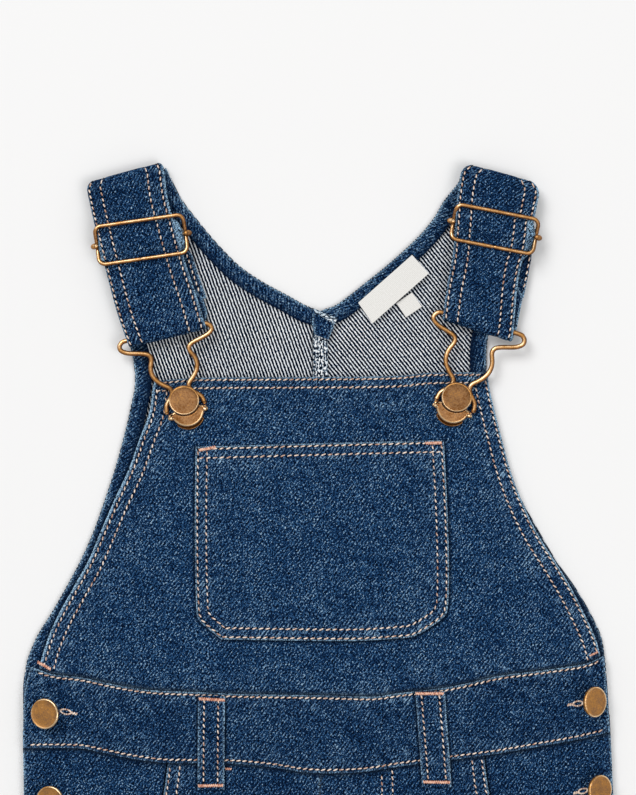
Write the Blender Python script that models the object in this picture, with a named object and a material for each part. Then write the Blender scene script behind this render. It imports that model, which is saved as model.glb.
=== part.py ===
"""Child's denim dungarees, laid flat on their back. Each cut piece is one closed solid.

Sizes are in millimetres and turn to metres in add_mesh(). X runs across the garment, Y from the
leg hems up to the shoulders, Z up from the surface that the back lies on. In the tables Y = 0 is the
waist seam at the centre front, and place() then moves the middle of the garment to the origin.
"""

import math

import bmesh
import bpy
import numpy as np

MM = 0.001

# Cloth and stacking. A single denim layer is WALL thick, and a strap is a folded one.
WALL = 1.1
STRAP_WALL = 1.6
GAP = 0.3
LAYER = WALL + GAP
BACK = 0.0
HEMS = BACK + LAYER
FRONT = HEMS + LAYER
ON_FRONT = FRONT + LAYER
ON_BAND = ON_FRONT + LAYER

# Driving lengths of the garment.
STRAP_TOP = 280.3
HEM = -358.0
CROTCH = -165.0
CENTRE = 1.8
SHOULDER_SHORT = 3.0
MIDDLE = (1.0, (STRAP_TOP + HEM) / 2)

# Sewn widths.
NECK_HEM = 7.8
ARMHOLE_HEM = 7.8
HEM_SETBACK = 0.3
BACK_SEAM = 7.2
BAND_OVERLAP = 8.0
BUTTON_STAND = 28.0
BUTTON_STAND_TOP = 47.5
BUTTON_STAND_END = -88.0
BUTTON_STAND_SETBACK = 0.5
BACK_BAND = (10.0, 44.0)
SIDE_TOP = 51.0

# Upper back. Columns: height, left armhole, left neck edge, right neck edge, right armhole.
BACK_SECTIONS = (
    (279, -104.5, -69.2, 70.0, 100.2),
    (271, -103.6, -65.9, 65.6, 99.6),
    (263, -102.5, -62.2, 59.8, 99.2),
    (255, -101.1, -56.4, 55.4, 98.0),
    (248, -99.4, -50.9, 50.0, 96.1),
    (240, -97.4, -43.6, 42.2, 92.9),
    (232, -95.4, -34.4, 33.0, 89.7),
    (225, -93.6, -22.8, 24.0, 86.9),
    (219, -92.0, -11.0, 15.6, 84.6),
    (214.4, -90.8, -2.9, 8.4, 83.0),
    (212, -90.1, 1.8, 1.8, 82.3),
    (203, -87.6, 1.8, 1.8, 80.1),
    (193, -85.1, 1.8, 1.8, 78.7),
    (180, -83.3, 1.8, 1.8, 78.8),
    (166, -85.6, 1.8, 1.8, 80.5),
    (153, -88.8, 1.8, 1.8, 83.5),
    (139, -92.5, 1.8, 1.8, 86.9),
    (125, -97.1, 1.8, 1.8, 91.5),
    (110, -102.6, 1.8, 1.8, 99.0),
    (97, -108.4, 1.8, 1.8, 111.4),
    (84, -115.5, 1.8, 1.8, 120.6),
    (72, -122.4, 1.8, 1.8, 126.7),
    (62, -128.6, 1.8, 1.8, 130.8),
    (51, -133.0, 1.8, 1.8, 132.9),
)
NECK_HEIGHTS = (271, 264, 257, 250, 243, 236, 230, 225, 219, 214.4, 212)

# Body below the armholes. Columns: height, left side, left inseam, right inseam, right side.
BODY_SECTIONS = (
    (51, -133.0, 1.8, 1.8, 132.9),
    (38, -134.8, 1.8, 1.8, 133.9),
    (12, -135.2, 1.8, 1.8, 135.3),
    (-11, -134.6, 1.8, 1.8, 136.2),
    (-45, -136.4, 1.8, 1.8, 138.6),
    (-85, -139.4, 1.8, 1.8, 141.4),
    (-125, -140.5, 1.8, 1.8, 142.5),
    (-165, -138.2, 1.8, 1.8, 140.2),
    (-174, -137.4, -2.6, 6.2, 139.4),
    (-190, -136.0, -7.6, 11.2, 138.0),
    (-225, -132.8, -14.4, 18.0, 134.8),
    (-290, -128.0, -22.4, 26.0, 130.0),
    (-358, -123.6, -27.2, 30.8, 125.8),
)

# Bib sides. Columns: height, left edge, right edge.
BIB_SECTIONS = (
    (184, -72.6, 79.0),
    (178, -74.9, 79.6),
    (166, -76.6, 82.3),
    (153, -81.4, 85.6),
    (139, -86.4, 89.4),
    (125, -93.0, 94.6),
    (110, -99.4, 101.8),
    (97, -105.0, 110.0),
    (84, -112.2, 117.8),
    (72, -118.8, 123.9),
    (60, -124.0, 129.2),
    (44, -128.4, 132.6),
    (24, -131.6, 134.0),
)
# Bib top edge. Columns: x, height.
BIB_TOP = ((-72, 180), (-54, 181.3), (-8, 181.6), (38, 182.2), (54, 183.7), (79, 183.8))

# Front waistband edges. Columns: x, height.
BAND_TOP = (
    (-130.4, 48.2), (-122, 45.1), (-108.6, 43.5), (-90, 39.6), (-76, 37.6), (-58, 36.8), (-37, 35.9),
    (2, 35.2), (25, 34.6), (38.6, 36.3), (61.6, 39.1), (84.6, 44.2), (98.4, 46), (112, 47.8),
    (126, 50.4), (132.6, 53.6),
)
BAND_BOTTOM = (
    (-134.8, 10.8), (-122, 11.0), (-108.6, 10.8), (-99.4, 9), (-85.6, 6.2), (-67, 4), (-54, 3.9),
    (-35, 3.5), (-16.6, 1.6), (-7.4, 0), (6.4, -0.7), (24.8, 0.3), (38.6, 2.5), (63, 5.6),
    (84.6, 8.5), (103, 11.7), (121.4, 15), (135.6, 18.4),
)
# Waistband ends. Columns: height, left end, right end.
BAND_ENDS = (
    (10, -134.8, 135.9), (24, -134.7, 134.8), (36, -134.2, 133.9), (43, -132.8, 133.4), (54, -129.6, 132.5),
)

# Slanted pocket mouths. Columns: height, left mouth, right mouth.
POCKET_MOUTHS = (
    (22, -66.5, 76.4),
    (4, -68.3, 77.8),
    (-11, -70.4, 80.0),
    (-35, -77.0, 87.6),
    (-60, -91.0, 101.0),
    (-78, -111.0, 120.0),
    (-88, -131.0, 136.0),
    (-91, -139.8, 141.8),
)
POCKET_MOUTH_END = -91.0
# Heights of a front leg's rows, closest together at the low end of the pocket mouth.
LEG_ROWS = (
    -358, -336, -312, -288, -266, -246, -228, -212, -198, -186, -176, -168, -158, -142, -124, -108, -98, -92,
    -88.5, -85, -81, -76, -69, -60, -48, -34, -18, -4, 8,
)
HIP_END = -85.0

# Patch pocket outline, from its top left corner round by the left. Columns: x, height.
PATCH_POCKET = (
    (-55.4, 149.6), (-55.8, 120), (-54.9, 72.2), (-43.8, 60.9), (15.6, 60.2), (44.0, 61.8),
    (50.6, 65.2), (60.4, 74.0), (61.2, 92), (60.6, 118), (58.8, 152.6),
)
PATCH_TOP = (2, 151.2)
PATCH_ROWS = (0, 0.06, 0.13, 0.26, 0.4, 0.55, 0.7, 0.85, 1)

# Soft folds of the front cloth. Columns: x, height, direction in degrees, length, width, rise.
CREASES = (
    (-78, 58, -14, 60, 9, 0.7),
    (70, 58, 16, 60, 9, 0.6),
    (4, 108, 80, 90, 26, 0.9),
    (-96, -18, -18, 70, 12, 1.0),
    (96, -14, 20, 70, 12, 0.9),
    (-34, -112, 138, 90, 11, 1.6),
    (40, -116, 40, 84, 11, 1.5),
    (-62, -150, 160, 90, 12, 1.3),
    (70, -154, 22, 86, 12, 1.2),
    (-78, -240, 8, 80, 13, 1.2),
    (84, -250, -10, 76, 13, 1.3),
    (-72, -262, -14, 70, 12, 0.9),
    (-76, -315, 84, 70, 16, 1.0),
    (80, -312, 96, 74, 16, 1.0),
)
LEG_EDGE_ROLL = 12.0
LEG_EDGE_FADE = 24.0
LEG_EDGE_START = 4.0

# Belt loops. Columns: name, x at the bottom, bottom, x at the top, top, width.
BELT_LOOPS = (("left", -48.4, -8.3, -48.0, 35.2, 12.4), ("right", 55.6, -7.0, 52.4, 37.2, 13.6))
BELT_LOOP_PUFF = 0.8
# Rows of a belt loop near the waist seam. Columns: height over the seam, share of the step onto the band.
BELT_LOOP_STEP = ((-5.5, 0), (-3.2, 0), (-0.6, 1), (2, 1), (8, 1))

# Shoulder straps. Columns: share of the run, left x, left height, right x, right height.
STRAP_SECTIONS = {
    "left": (
        (0.0, -106.0, 271.4, -70.4, 281.1),
        (0.2, -102.8, 256.2, -68.4, 265.4),
        (0.4, -99.0, 240.8, -64.3, 249.8),
        (0.6, -95.2, 225.4, -59.9, 234.1),
        (0.8, -91.0, 210.0, -54.7, 218.5),
        (1.0, -85.6, 194.9, -50.2, 203.6),
    ),
    "right": (
        (0.0, 67.6, 280.8, 103.4, 270.9),
        (0.2, 65.1, 266.9, 100.3, 257.0),
        (0.4, 63.9, 252.0, 98.6, 242.1),
        (0.6, 62.8, 237.2, 95.9, 227.1),
        (0.8, 59.9, 222.3, 92.9, 212.2),
        (1.0, 58.0, 207.5, 90.4, 197.3),
    ),
}
# Rounded corners at the shoulder fold. Columns: left, right.
STRAP_CORNERS = {"left": (4.8, 3.6), "right": (6.4, 4.8)}
# Strap fittings. Columns: run, slider from the fold, turn of the slider along the run, tab end.
STRAP_FITTINGS = {"left": (79.4, 32.8, 4.4, 65.0), "right": (74.4, 26.0, -3.0, 53.4)}
STRAP_UNDERLAP = 14.0
STRAP_PEEK = 1.3
STRAP_PINCH = 1.0
STRAP_FOLD = 1.75
STRAP_LOOP = 2.5
STRAP_LOOP_HEIGHT = 6.1

# Sliders. Columns: centre x, centre height, turn in degrees, half length, half width.
SLIDERS = {"left": (-80.2, 244.6, 8.2, 20.5, 8.8), "right": (82.0, 250.2, -11.0, 19.4, 8.5)}
SLIDER_WIRE = 0.9
SLIDER_BAR_WIRE = 0.8
SLIDER_CORNER = 3.0
SLIDER_HEIGHT = 9.9
SLIDER_BOW = 2.1
SLIDER_LOOP = 2.0
SLIDER_HOOK = 2.1

# Heights of a strap's middle line: tab, return run, front run, over the slider's bar and under its frame.
TAB = FRONT + STRAP_WALL / 2
RETURN = TAB + STRAP_WALL + GAP
RUN = RETURN + STRAP_WALL + GAP
SLIDER_BAR_HEIGHT = TAB + SLIDER_LOOP
OVER_BAR = SLIDER_BAR_HEIGHT + SLIDER_LOOP + STRAP_WALL + GAP
UNDER_FRAME = SLIDER_HEIGHT - SLIDER_WIRE - GAP - 0.1 - STRAP_WALL / 2
# Strap seen from its edge, from the shoulder fold to the clip. Columns: measured from, distance, height.
FRONT_RUN = (
    ("frame top", -2.5, UNDER_FRAME - 0.1),
    ("frame top", 2.6, UNDER_FRAME),
    ("bar", -3.2, OVER_BAR - 0.4),
    ("bar", -1.4, OVER_BAR),
    ("bar", 1.4, OVER_BAR),
    ("bar", 3.6, OVER_BAR - 0.5),
    ("frame bottom", -2.4, UNDER_FRAME),
    ("frame bottom", 2.0, UNDER_FRAME),
    ("frame bottom", 6.0, RUN),
    ("tab end", 0.0, RUN),
    ("clip", -8.0, RUN + 0.1),
    ("clip", -3.5, STRAP_LOOP_HEIGHT + STRAP_LOOP - 0.1),
)
# And from the clip back to the slider's bar.
RETURN_RUN = (
    ("clip", -4.0, STRAP_LOOP_HEIGHT - STRAP_LOOP + 0.1),
    ("tab end", 2.0, RETURN - 0.4),
    ("tab end", -2.5, RETURN),
    ("bar", 8.2, RETURN),
    ("bar", 4.4, RETURN + 0.9),
)

# Bib clips. Columns: button x, button height, lean in degrees, length share, shear, shift of the wire.
CLIPS = {"left": (-60.7, 171.4, 16.1, 0.945, -0.06, -0.3), "right": (64.6, 172.8, -17.4, 1.04, 0.03, 0.6)}
CLIP_WIRE = 1.1
CLIP_RING_HEIGHT = ON_FRONT + CLIP_WIRE + 0.1
# One half of the bent wire, from the middle of the strap bar to the catch plate. Columns: across, along.
CLIP_HALF = (
    (0, 34), (9, 34), (18.2, 34), (20.5, 33.2), (21.5, 31.8), (21.3, 30), (19.2, 28.4), (16.3, 27.4),
    (12.6, 26.4), (9.9, 25.2), (9, 23.6), (9.2, 21.8), (10.2, 19.4), (10.7, 16.8), (10.3, 14),
    (9, 11.5), (6.9, 9.2), (4.7, 7.2), (4.1, 5.4), (4.6, 3.4), (6.4, 1.5), (8.3, -0.8), (9, -3.9),
)
# Catch plate: a disc below the button with a round notch for it and a lug under each wire end.
PLATE_RADIUS = 7.9
PLATE_DROP = 4.9
PLATE_NOTCH = 7.2
PLATE_LUG = ((8.9, -7.0), (9.2, -5.2), (7.6, -4.7))
PLATE_THICK = 1.4

# Metal buttons. Columns: radius, height over the underside of the head.
BUTTON_PROFILE = ((2.3, -3.2), (2.3, 0), (6.4, 0), (7.0, 0.5), (7.0, 1.4), (6.5, 2.0), (5.6, 1.9), (2.8, 2.3))
BUTTON_SEGMENTS = 20
BIB_BUTTON_TILT = 18.0
BIB_BUTTON_RISE = 8.2
# Side buttons. Columns: name, x, height, level of the cloth under it, tilt in degrees.
SIDE_BUTTONS = (
    ("left_upper", -124.4, 27.2, ON_BAND, -22.0),
    ("left_lower", -121.6, -13.0, ON_FRONT, -22.0),
    ("right_upper", 127.5, 32.6, ON_BAND, 34.0),
    ("right_lower", 129.7, -7.8, ON_FRONT, 34.0),
)

# Labels. Columns: x of a corner, height of that corner, turn in degrees, length, depth.
NECK_LABEL = (19.4, 215.7, 41.6, 33.2, 11.6)
SIZE_LABEL = (37.0, 215.8, 34.0, 8.8, 8.0)

DENIM = (0.022, 0.075, 0.175, 1)
DENIM_DARK = (0.012, 0.04, 0.10, 1)
DENIM_INSIDE = (0.30, 0.36, 0.44, 1)
BRASS = (0.45, 0.24, 0.08, 1)
LABEL = (0.80, 0.78, 0.72, 1)


def finish(name, colour, roughness, metallic=0.0):
    """A Principled material."""
    made = bpy.data.materials.new(name)
    made.use_nodes = True
    shader = made.node_tree.nodes["Principled BSDF"]
    shader.inputs["Base Color"].default_value = colour
    shader.inputs["Roughness"].default_value = roughness
    shader.inputs["Metallic"].default_value = metallic
    made.diffuse_color = colour
    return made


def place(points):
    """Garment millimetres to metres about the middle of the garment."""
    shifted = np.array(points, float)
    shifted[:, 0] -= MIDDLE[0]
    shifted[:, 1] -= MIDDLE[1]
    return shifted * MM


def add_mesh(name, points, faces, colour, roughness=0.85, metallic=0.0):
    mesh = bpy.data.meshes.new(name)
    mesh.from_pydata(place(points).tolist(), [], [list(map(int, face)) for face in faces])
    built = bmesh.new()
    built.from_mesh(mesh)
    bmesh.ops.recalc_face_normals(built, faces=built.faces)
    built.to_mesh(mesh)
    built.free()
    mesh.set_sharp_from_angle(angle=math.radians(40))
    made = bpy.data.objects.new(name, mesh)
    made.data.materials.append(finish(name, colour, roughness, metallic))
    bpy.context.scene.collection.objects.link(made)
    return made


def column(rows, index):
    """The function of the first column that a column's values follow, smooth and without overshoot."""
    rows = np.array([(row[0], row[index]) for row in rows], float)
    rows = rows[np.argsort(rows[:, 0])]
    x, y = rows.T
    step, rise = np.diff(x), np.diff(y)
    slope = rise / step
    tangent = np.concatenate([[slope[0]], (slope[1:] + slope[:-1]) / 2, [slope[-1]]])
    tangent[1:-1][slope[1:] * slope[:-1] <= 0] = 0
    limit = 3 * np.minimum(np.abs(np.append(slope, slope[-1])), np.abs(np.append(slope[0], slope)))
    tangent = np.clip(tangent, -limit, limit)

    def value(at):
        at = np.clip(np.asarray(at, float), x[0], x[-1])
        i = np.clip(np.searchsorted(x, at, side="right") - 1, 0, len(step) - 1)
        t = (at - x[i]) / step[i]
        along = (3 - 2 * t) * t * t
        lead = step[i] * t * (1 - t) * ((1 - t) * tangent[i] - t * tangent[i + 1])
        return y[i] + rise[i] * along + lead

    return value


def smoothstep(value):
    t = np.clip(value, 0, 1)
    return t * t * (3 - 2 * t)


def eased(count):
    """Shares from 0 to 1, closer together at both ends."""
    return 0.5 - 0.5 * np.cos(np.pi * np.arange(count + 1) / count)


SIDE = {"left": column(BODY_SECTIONS, 1), "right": column(BODY_SECTIONS, 4)}
INSEAM = {"left": column(BODY_SECTIONS, 2), "right": column(BODY_SECTIONS, 3)}
ARMHOLE = {"left": column(BACK_SECTIONS, 1), "right": column(BACK_SECTIONS, 4)}
NECK = {"left": column(BACK_SECTIONS, 2), "right": column(BACK_SECTIONS, 3)}
MOUTH = {"left": column(POCKET_MOUTHS, 1), "right": column(POCKET_MOUTHS, 2)}
BAND_UPPER = column(BAND_TOP, 1)
BAND_LOWER = column(BAND_BOTTOM, 1)
# Sign of the side that a piece is on: -1 is the left of the drawing.
SIGN = {"left": -1, "right": 1}


def relief(x, y):
    """Height of the soft folds: a sum of long round ridges."""
    total = np.zeros(np.broadcast(x, y).shape)
    for centre_x, centre_y, direction, length, width, rise in CREASES:
        cos, sin = math.cos(math.radians(direction)), math.sin(math.radians(direction))
        along = (x - centre_x) * cos + (y - centre_y) * sin
        across = (y - centre_y) * cos - (x - centre_x) * sin
        total += rise * np.exp(-((along / (0.5 * length)) ** 2) - (across / width) ** 2)
    return total


def leg_drop(x, y):
    """How far the front comes down to the back where they are sewn, at the side seams and inseams."""
    to_side = np.minimum(x - SIDE["left"](y), SIDE["right"](y) - x)
    to_inseam = np.where(x < CENTRE, INSEAM["left"](y) - x, x - INSEAM["right"](y))
    side_starts = smoothstep((BUTTON_STAND_END - LEG_EDGE_START - y) / LEG_EDGE_FADE)
    inseam_starts = smoothstep((CROTCH - y) / LEG_EDGE_FADE)
    side = (1 - smoothstep(to_side / LEG_EDGE_ROLL)) * side_starts
    inseam = (1 - smoothstep(to_inseam / LEG_EDGE_ROLL)) * inseam_starts
    return np.maximum(side, inseam)


def front_height(x, y):
    """Underside of the front cloth."""
    drop = leg_drop(x, y)
    return FRONT + relief(x, y) * (1 - drop) - LAYER * drop


def grid_solid(name, points, thickness, colour):
    """A closed wall on a grid of underside points (rows, columns, xyz)."""
    rows, columns = points.shape[:2]
    upper = points + np.array([0, 0, thickness])
    number = np.arange(rows * columns).reshape(rows, columns)
    corners = (number[:-1, :-1], number[:-1, 1:], number[1:, 1:], number[1:, :-1])
    sheet = np.stack([corner.ravel() for corner in corners], axis=1)
    faces = sheet[:, ::-1].tolist() + (sheet + rows * columns).tolist()
    rim = np.concatenate([number[0], number[1:, -1], number[-1, -2::-1], number[-2:0:-1, 0]])
    for a, b in zip(rim, np.roll(rim, -1)):
        faces.append((a, b, b + rows * columns, a + rows * columns))
    both = np.concatenate([points.reshape(-1, 3), upper.reshape(-1, 3)])
    return add_mesh(name, both, faces, colour)


def between_edges(left, right, bottom, top, across, along):
    """Grid points between four edges: left and right give x of a height, bottom and top a height of x."""
    u, v = np.meshgrid(across, along)
    x = np.zeros(u.shape)
    for _ in range(30):
        y = bottom(x) + (top(x) - bottom(x)) * v
        x = left(y) + (right(y) - left(y)) * u
    return x, y


def front_piece(name, left, right, bottom, top, across, along, level=0.0, colour=DENIM):
    """A piece of the front whose underside follows the folds, level above the front cloth's own."""
    x, y = between_edges(left, right, bottom, top, across, along)
    return grid_solid(name, np.stack([x, y, front_height(x, y) + level], axis=2), WALL, colour)


def flat_piece(name, outline, level, colour, thickness=WALL, roughness=0.85, metallic=0.0):
    """A flat wall with the given outline."""
    outline = np.array(outline, float)
    count = len(outline)
    low = np.column_stack([outline, np.full(count, level)])
    high = low + np.array([0, 0, thickness])
    faces = [tuple(range(count))[::-1], tuple(range(count, 2 * count))]
    faces += [(i, (i + 1) % count, count + (i + 1) % count, count + i) for i in range(count)]
    return add_mesh(name, np.concatenate([low, high]), faces, colour, roughness, metallic)


def edge_points(function, heights):
    heights = np.array(heights, float)
    return np.column_stack([function(heights), heights])


def offset(points, distance):
    """The polyline moved sideways, to its left when distance is positive."""
    along = np.gradient(points, axis=0)
    along /= np.linalg.norm(along, axis=1)[:, None]
    return points + distance * np.column_stack([-along[:, 1], along[:, 0]])


def build_upper_back(side):
    """Half of the upper back with its hems. It gives the height where the neck hem ends at the middle."""
    sign = SIGN[side]
    _, left_x, left_y, right_x, right_y = STRAP_SECTIONS[side][0]
    outer_top, inner_top = (left_y, right_y) if side == "left" else (right_y, left_y)
    seam = CENTRE + sign * GAP / 2
    armhole = edge_points(ARMHOLE[side], np.linspace(SIDE_TOP, outer_top - SHOULDER_SHORT, 34))
    neck = edge_points(NECK[side], [inner_top - SHOULDER_SHORT, *NECK_HEIGHTS])
    neck[-1, 0] = seam
    waist_height = BACK_BAND[1] + GAP
    waist = [(seam, waist_height), (SIDE[side](waist_height), waist_height)]
    flat_piece(f"back_{side}", [*armhole, *neck, *waist], BACK, DENIM_INSIDE)

    hem_edge = offset(armhole, sign * HEM_SETBACK)
    hem_inner = offset(armhole, sign * ARMHOLE_HEM)
    flat_piece(f"armhole_hem_{side}", [*hem_edge, *hem_inner[::-1]], HEMS, DENIM_DARK)

    outer = offset(neck, sign * HEM_SETBACK)
    inner = offset(neck, sign * NECK_HEM)
    inner = inner[sign * (inner[:, 0] - seam) > GAP]
    lean = (inner[-1, 1] - inner[-2, 1]) / (inner[-1, 0] - inner[-2, 0])
    lowest = inner[-1, 1] + lean * (seam - inner[-1, 0])
    outline = [*outer[:-1], (seam, outer[-1, 1]), (seam, lowest), *inner[::-1]]
    flat_piece(f"neck_hem_{side}", outline, HEMS, DENIM_DARK)
    return lowest


def build_back_seam(top):
    """The flat-felled seam up the middle of the back."""
    left, right = CENTRE - BACK_SEAM / 2, CENTRE + BACK_SEAM / 2
    bottom = BACK_BAND[1] + GAP
    outline = [(left, bottom), (right, bottom), (right, top), (left, top)]
    flat_piece("back_seam", outline, HEMS, DENIM_INSIDE)


def build_lower_back():
    """Back waistband and back legs, plain and flat, because the garment lies on them."""
    low, high = BACK_BAND
    heights = np.linspace(low, high, 5)
    band = [*edge_points(SIDE["left"], heights), *edge_points(SIDE["right"], heights[::-1])]
    flat_piece("back_waistband", band, BACK, DENIM)
    for side, sign in SIGN.items():
        outer = edge_points(SIDE[side], np.linspace(HEM, low - GAP, 26))
        inner = edge_points(INSEAM[side], [low - GAP, *LEG_ROWS[LEG_ROWS.index(-168)::-1]])
        inner[0, 0] = CENTRE
        inner = np.insert(inner, 1, [[CENTRE, CROTCH]], axis=0)
        inner[:2, 0] += sign * GAP / 2
        flat_piece(f"back_leg_{side}", [*outer, *inner], BACK, DENIM)


def build_button_stands():
    """The underlap that each side opening buttons onto."""
    heights = np.linspace(BUTTON_STAND_END, BUTTON_STAND_TOP, 10)
    for side, sign in SIGN.items():
        edge = edge_points(SIDE[side], heights)
        outer, inner = edge - (sign * BUTTON_STAND_SETBACK, 0), edge - (sign * BUTTON_STAND, 0)
        flat_piece(f"button_stand_{side}", [*outer, *inner[::-1]], HEMS, DENIM)


def level_line(height):
    """A straight edge at one height, for between_edges."""
    return lambda x: height + 0 * x


def bib_seam(x):
    """Lower edge of the bib, under the waistband."""
    return BAND_UPPER(x) - BAND_OVERLAP


def leg_seam(x):
    """Upper edge of a front leg, under the waistband."""
    return BAND_LOWER(x) + BAND_OVERLAP


def build_bib():
    sides = column(BIB_SECTIONS, 1), column(BIB_SECTIONS, 2)
    front_piece("bib", *sides, bib_seam, column(BIB_TOP, 1), np.linspace(0, 1, 17), np.linspace(0, 1, 13))


def build_patch_pocket():
    """The pocket is ruled between its left and right sides, whose lower corners are cut off."""
    left = column([(height, x) for x, height in PATCH_POCKET[:4]], 1)
    right = column([(height, x) for x, height in PATCH_POCKET[5:]], 1)
    bottom = column(PATCH_POCKET[3:6], 1)
    top = column((PATCH_POCKET[0], PATCH_TOP, PATCH_POCKET[-1]), 1)
    front_piece("bib_pocket", left, right, bottom, top, np.linspace(0, 1, 10), np.array(PATCH_ROWS), LAYER)


def build_waistband():
    ends = column(BAND_ENDS, 1), column(BAND_ENDS, 2)
    across, along = np.linspace(0, 1, 31), np.linspace(0, 1, 4)
    front_piece("front_waistband", *ends, BAND_LOWER, BAND_UPPER, across, along, LAYER)


def build_front_legs():
    """Front legs with a slanted pocket mouth, and the hip piece that shows behind it."""
    along = (np.array(LEG_ROWS) - HEM) / (LEG_ROWS[-1] - HEM)
    hip_rows = along[np.array(LEG_ROWS) >= HIP_END]
    for side, sign in SIGN.items():
        seam = CENTRE + sign * GAP / 2

        def inner(y):
            return sign * np.maximum(sign * INSEAM[side](y), sign * seam)

        def outer(y):
            return np.where(y > POCKET_MOUTH_END, MOUTH[side](y), SIDE[side](y))

        def hip_edge(y):
            slope = MOUTH[side](y + 0.5) - MOUTH[side](y - 0.5)
            return MOUTH[side](y) + sign * 2 * GAP * np.hypot(1, slope)

        leg, hip = (outer, inner), (SIDE[side], hip_edge)
        if side == "right":
            leg, hip = leg[::-1], hip[::-1]
        front_piece(f"front_leg_{side}", *leg, level_line(HEM), leg_seam, eased(11), along)
        front_piece(f"hip_piece_{side}", *hip, level_line(HEM), leg_seam, np.linspace(0, 1, 7), hip_rows)


def build_belt_loops():
    """A narrow strap over the waistband, puffed in the middle, its foot on the leg."""
    for name, low_x, low, high_x, high, width in BELT_LOOPS:
        seam = float(BAND_LOWER((low_x + high_x) / 2))
        step = np.array(BELT_LOOP_STEP)
        heights = np.array([low, *(seam + step[:, 0]), (seam + high) / 2, high - step[-1, 0], high])
        lifted = np.array([0, *step[:, 1], 1, 1, 1])
        puff = BELT_LOOP_PUFF * np.sin(np.pi * np.clip((heights - seam) / (high - seam), 0, 1))
        x = low_x + (high_x - low_x) * (heights - low) / (high - low)
        across = np.array([-0.5, 0, 0.5]) * width
        grid_x, grid_y = x[:, None] + across, heights[:, None] + 0 * across
        grid_z = front_height(grid_x, grid_y) + LAYER + (LAYER * lifted + puff)[:, None]
        grid_solid(f"belt_loop_{name}", np.stack([grid_x, grid_y, grid_z], axis=2), WALL, DENIM)


def arc(centre, radius, start, end, count):
    """Points on an arc, angles in degrees."""
    angles = np.radians(np.linspace(start, end, count))
    return np.column_stack([centre[0] + radius * np.cos(angles), centre[1] + radius * np.sin(angles)])


def strap_path(side):
    """The strap seen from its edge. Columns: distance from the shoulder fold, height, shift to the right."""
    run, slider, _, tab_end = STRAP_FITTINGS[side]
    half_width = SLIDERS[side][4]
    clip = run - STRAP_LOOP - STRAP_WALL / 2
    start = {
        "frame top": slider - half_width,
        "bar": slider,
        "frame bottom": slider + half_width,
        "tab end": tab_end,
        "clip": clip,
    }
    fold = (STRAP_FOLD + STRAP_WALL / 2, TAB + STRAP_FOLD)
    front = [(STRAP_UNDERLAP, TAB), (STRAP_UNDERLAP / 2, TAB), *arc(fold, STRAP_FOLD, 270, 90, 9)]
    front += [(start[name] + distance, height) for name, distance, height in FRONT_RUN]
    front += list(arc((clip, STRAP_LOOP_HEIGHT), STRAP_LOOP, 90, -90, 9))
    back = [(start[name] + distance, height) for name, distance, height in RETURN_RUN]
    back += list(arc((slider, SLIDER_BAR_HEIGHT), SLIDER_LOOP, 70, 270, 10))
    back += [(slider + 6.0, TAB), (tab_end, TAB)]
    front, back = np.array(front), np.array(back)
    off_bar = smoothstep((back[:, 0] - slider - 2.5) / 4)
    off_clip = smoothstep((tab_end + 5 - back[:, 0]) / 6)
    shift = np.concatenate([0 * front[:, 0], STRAP_PEEK * off_bar * off_clip])
    return np.column_stack([np.concatenate([front, back]), shift])


def build_strap(side):
    """One ribbon: over the shoulder, through the slider, round the clip, back up and round the slider bar."""
    run, slider, turn, _ = STRAP_FITTINGS[side]
    path = strap_path(side)
    edge = [column(STRAP_SECTIONS[side], index) for index in range(1, 5)]
    along = np.gradient(path[:, :2], axis=0)
    along /= np.linalg.norm(along, axis=1)[:, None]
    rings = []
    for move in (-STRAP_WALL / 2, STRAP_WALL / 2):
        s = path[:, 0] - move * along[:, 1]
        z = path[:, 1] + move * along[:, 0]
        skew = turn / 2 * np.exp(-(((s - slider) / 14) ** 2))
        pinch = STRAP_PINCH * np.exp(-(((s - slider) / 9) ** 4))
        rounded = [r * (1 - np.sqrt(1 - np.clip(1 - s / r, 0, 1) ** 2)) for r in STRAP_CORNERS[side]]
        left_share, right_share = np.clip((s - skew) / run, 0, 1), np.clip((s + skew) / run, 0, 1)
        left = np.column_stack([edge[0](left_share), edge[1](left_share)])
        right = np.column_stack([edge[2](right_share), edge[3](right_share)])
        across = (right - left) / np.linalg.norm(right - left, axis=1)[:, None]
        left += across * (path[:, 2] + pinch + rounded[0])[:, None]
        right += across * (path[:, 2] - pinch - rounded[1])[:, None]
        rings.append(np.stack([np.column_stack([left, z]), np.column_stack([right, z])], axis=1))
    count = len(path)
    upper = 2 * count
    faces = []
    for i in range(count - 1):
        a, b, c, d = 2 * i, 2 * i + 1, 2 * i + 3, 2 * i + 2
        faces += [(a, b, c, d), (upper + d, upper + c, upper + b, upper + a)]
        faces += [(a, d, upper + d, upper + a), (b, upper + b, upper + c, c)]
    last = upper - 2
    faces += [(0, upper, upper + 1, 1), (last, last + 1, upper + last + 1, upper + last)]
    add_mesh(f"strap_{side}", np.concatenate([ring.reshape(-1, 3) for ring in rings]), faces, DENIM)


def turned_to(seat, across, along):
    """Local across and along to garment x and y. A seat starts with centre x, centre height and lean."""
    centre_x, centre_y, lean = seat[:3]
    cos, sin = math.cos(math.radians(lean)), math.sin(math.radians(lean))
    across, along = np.asarray(across, float), np.asarray(along, float)
    return centre_x + across * cos - along * sin, centre_y + across * sin + along * cos


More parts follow.
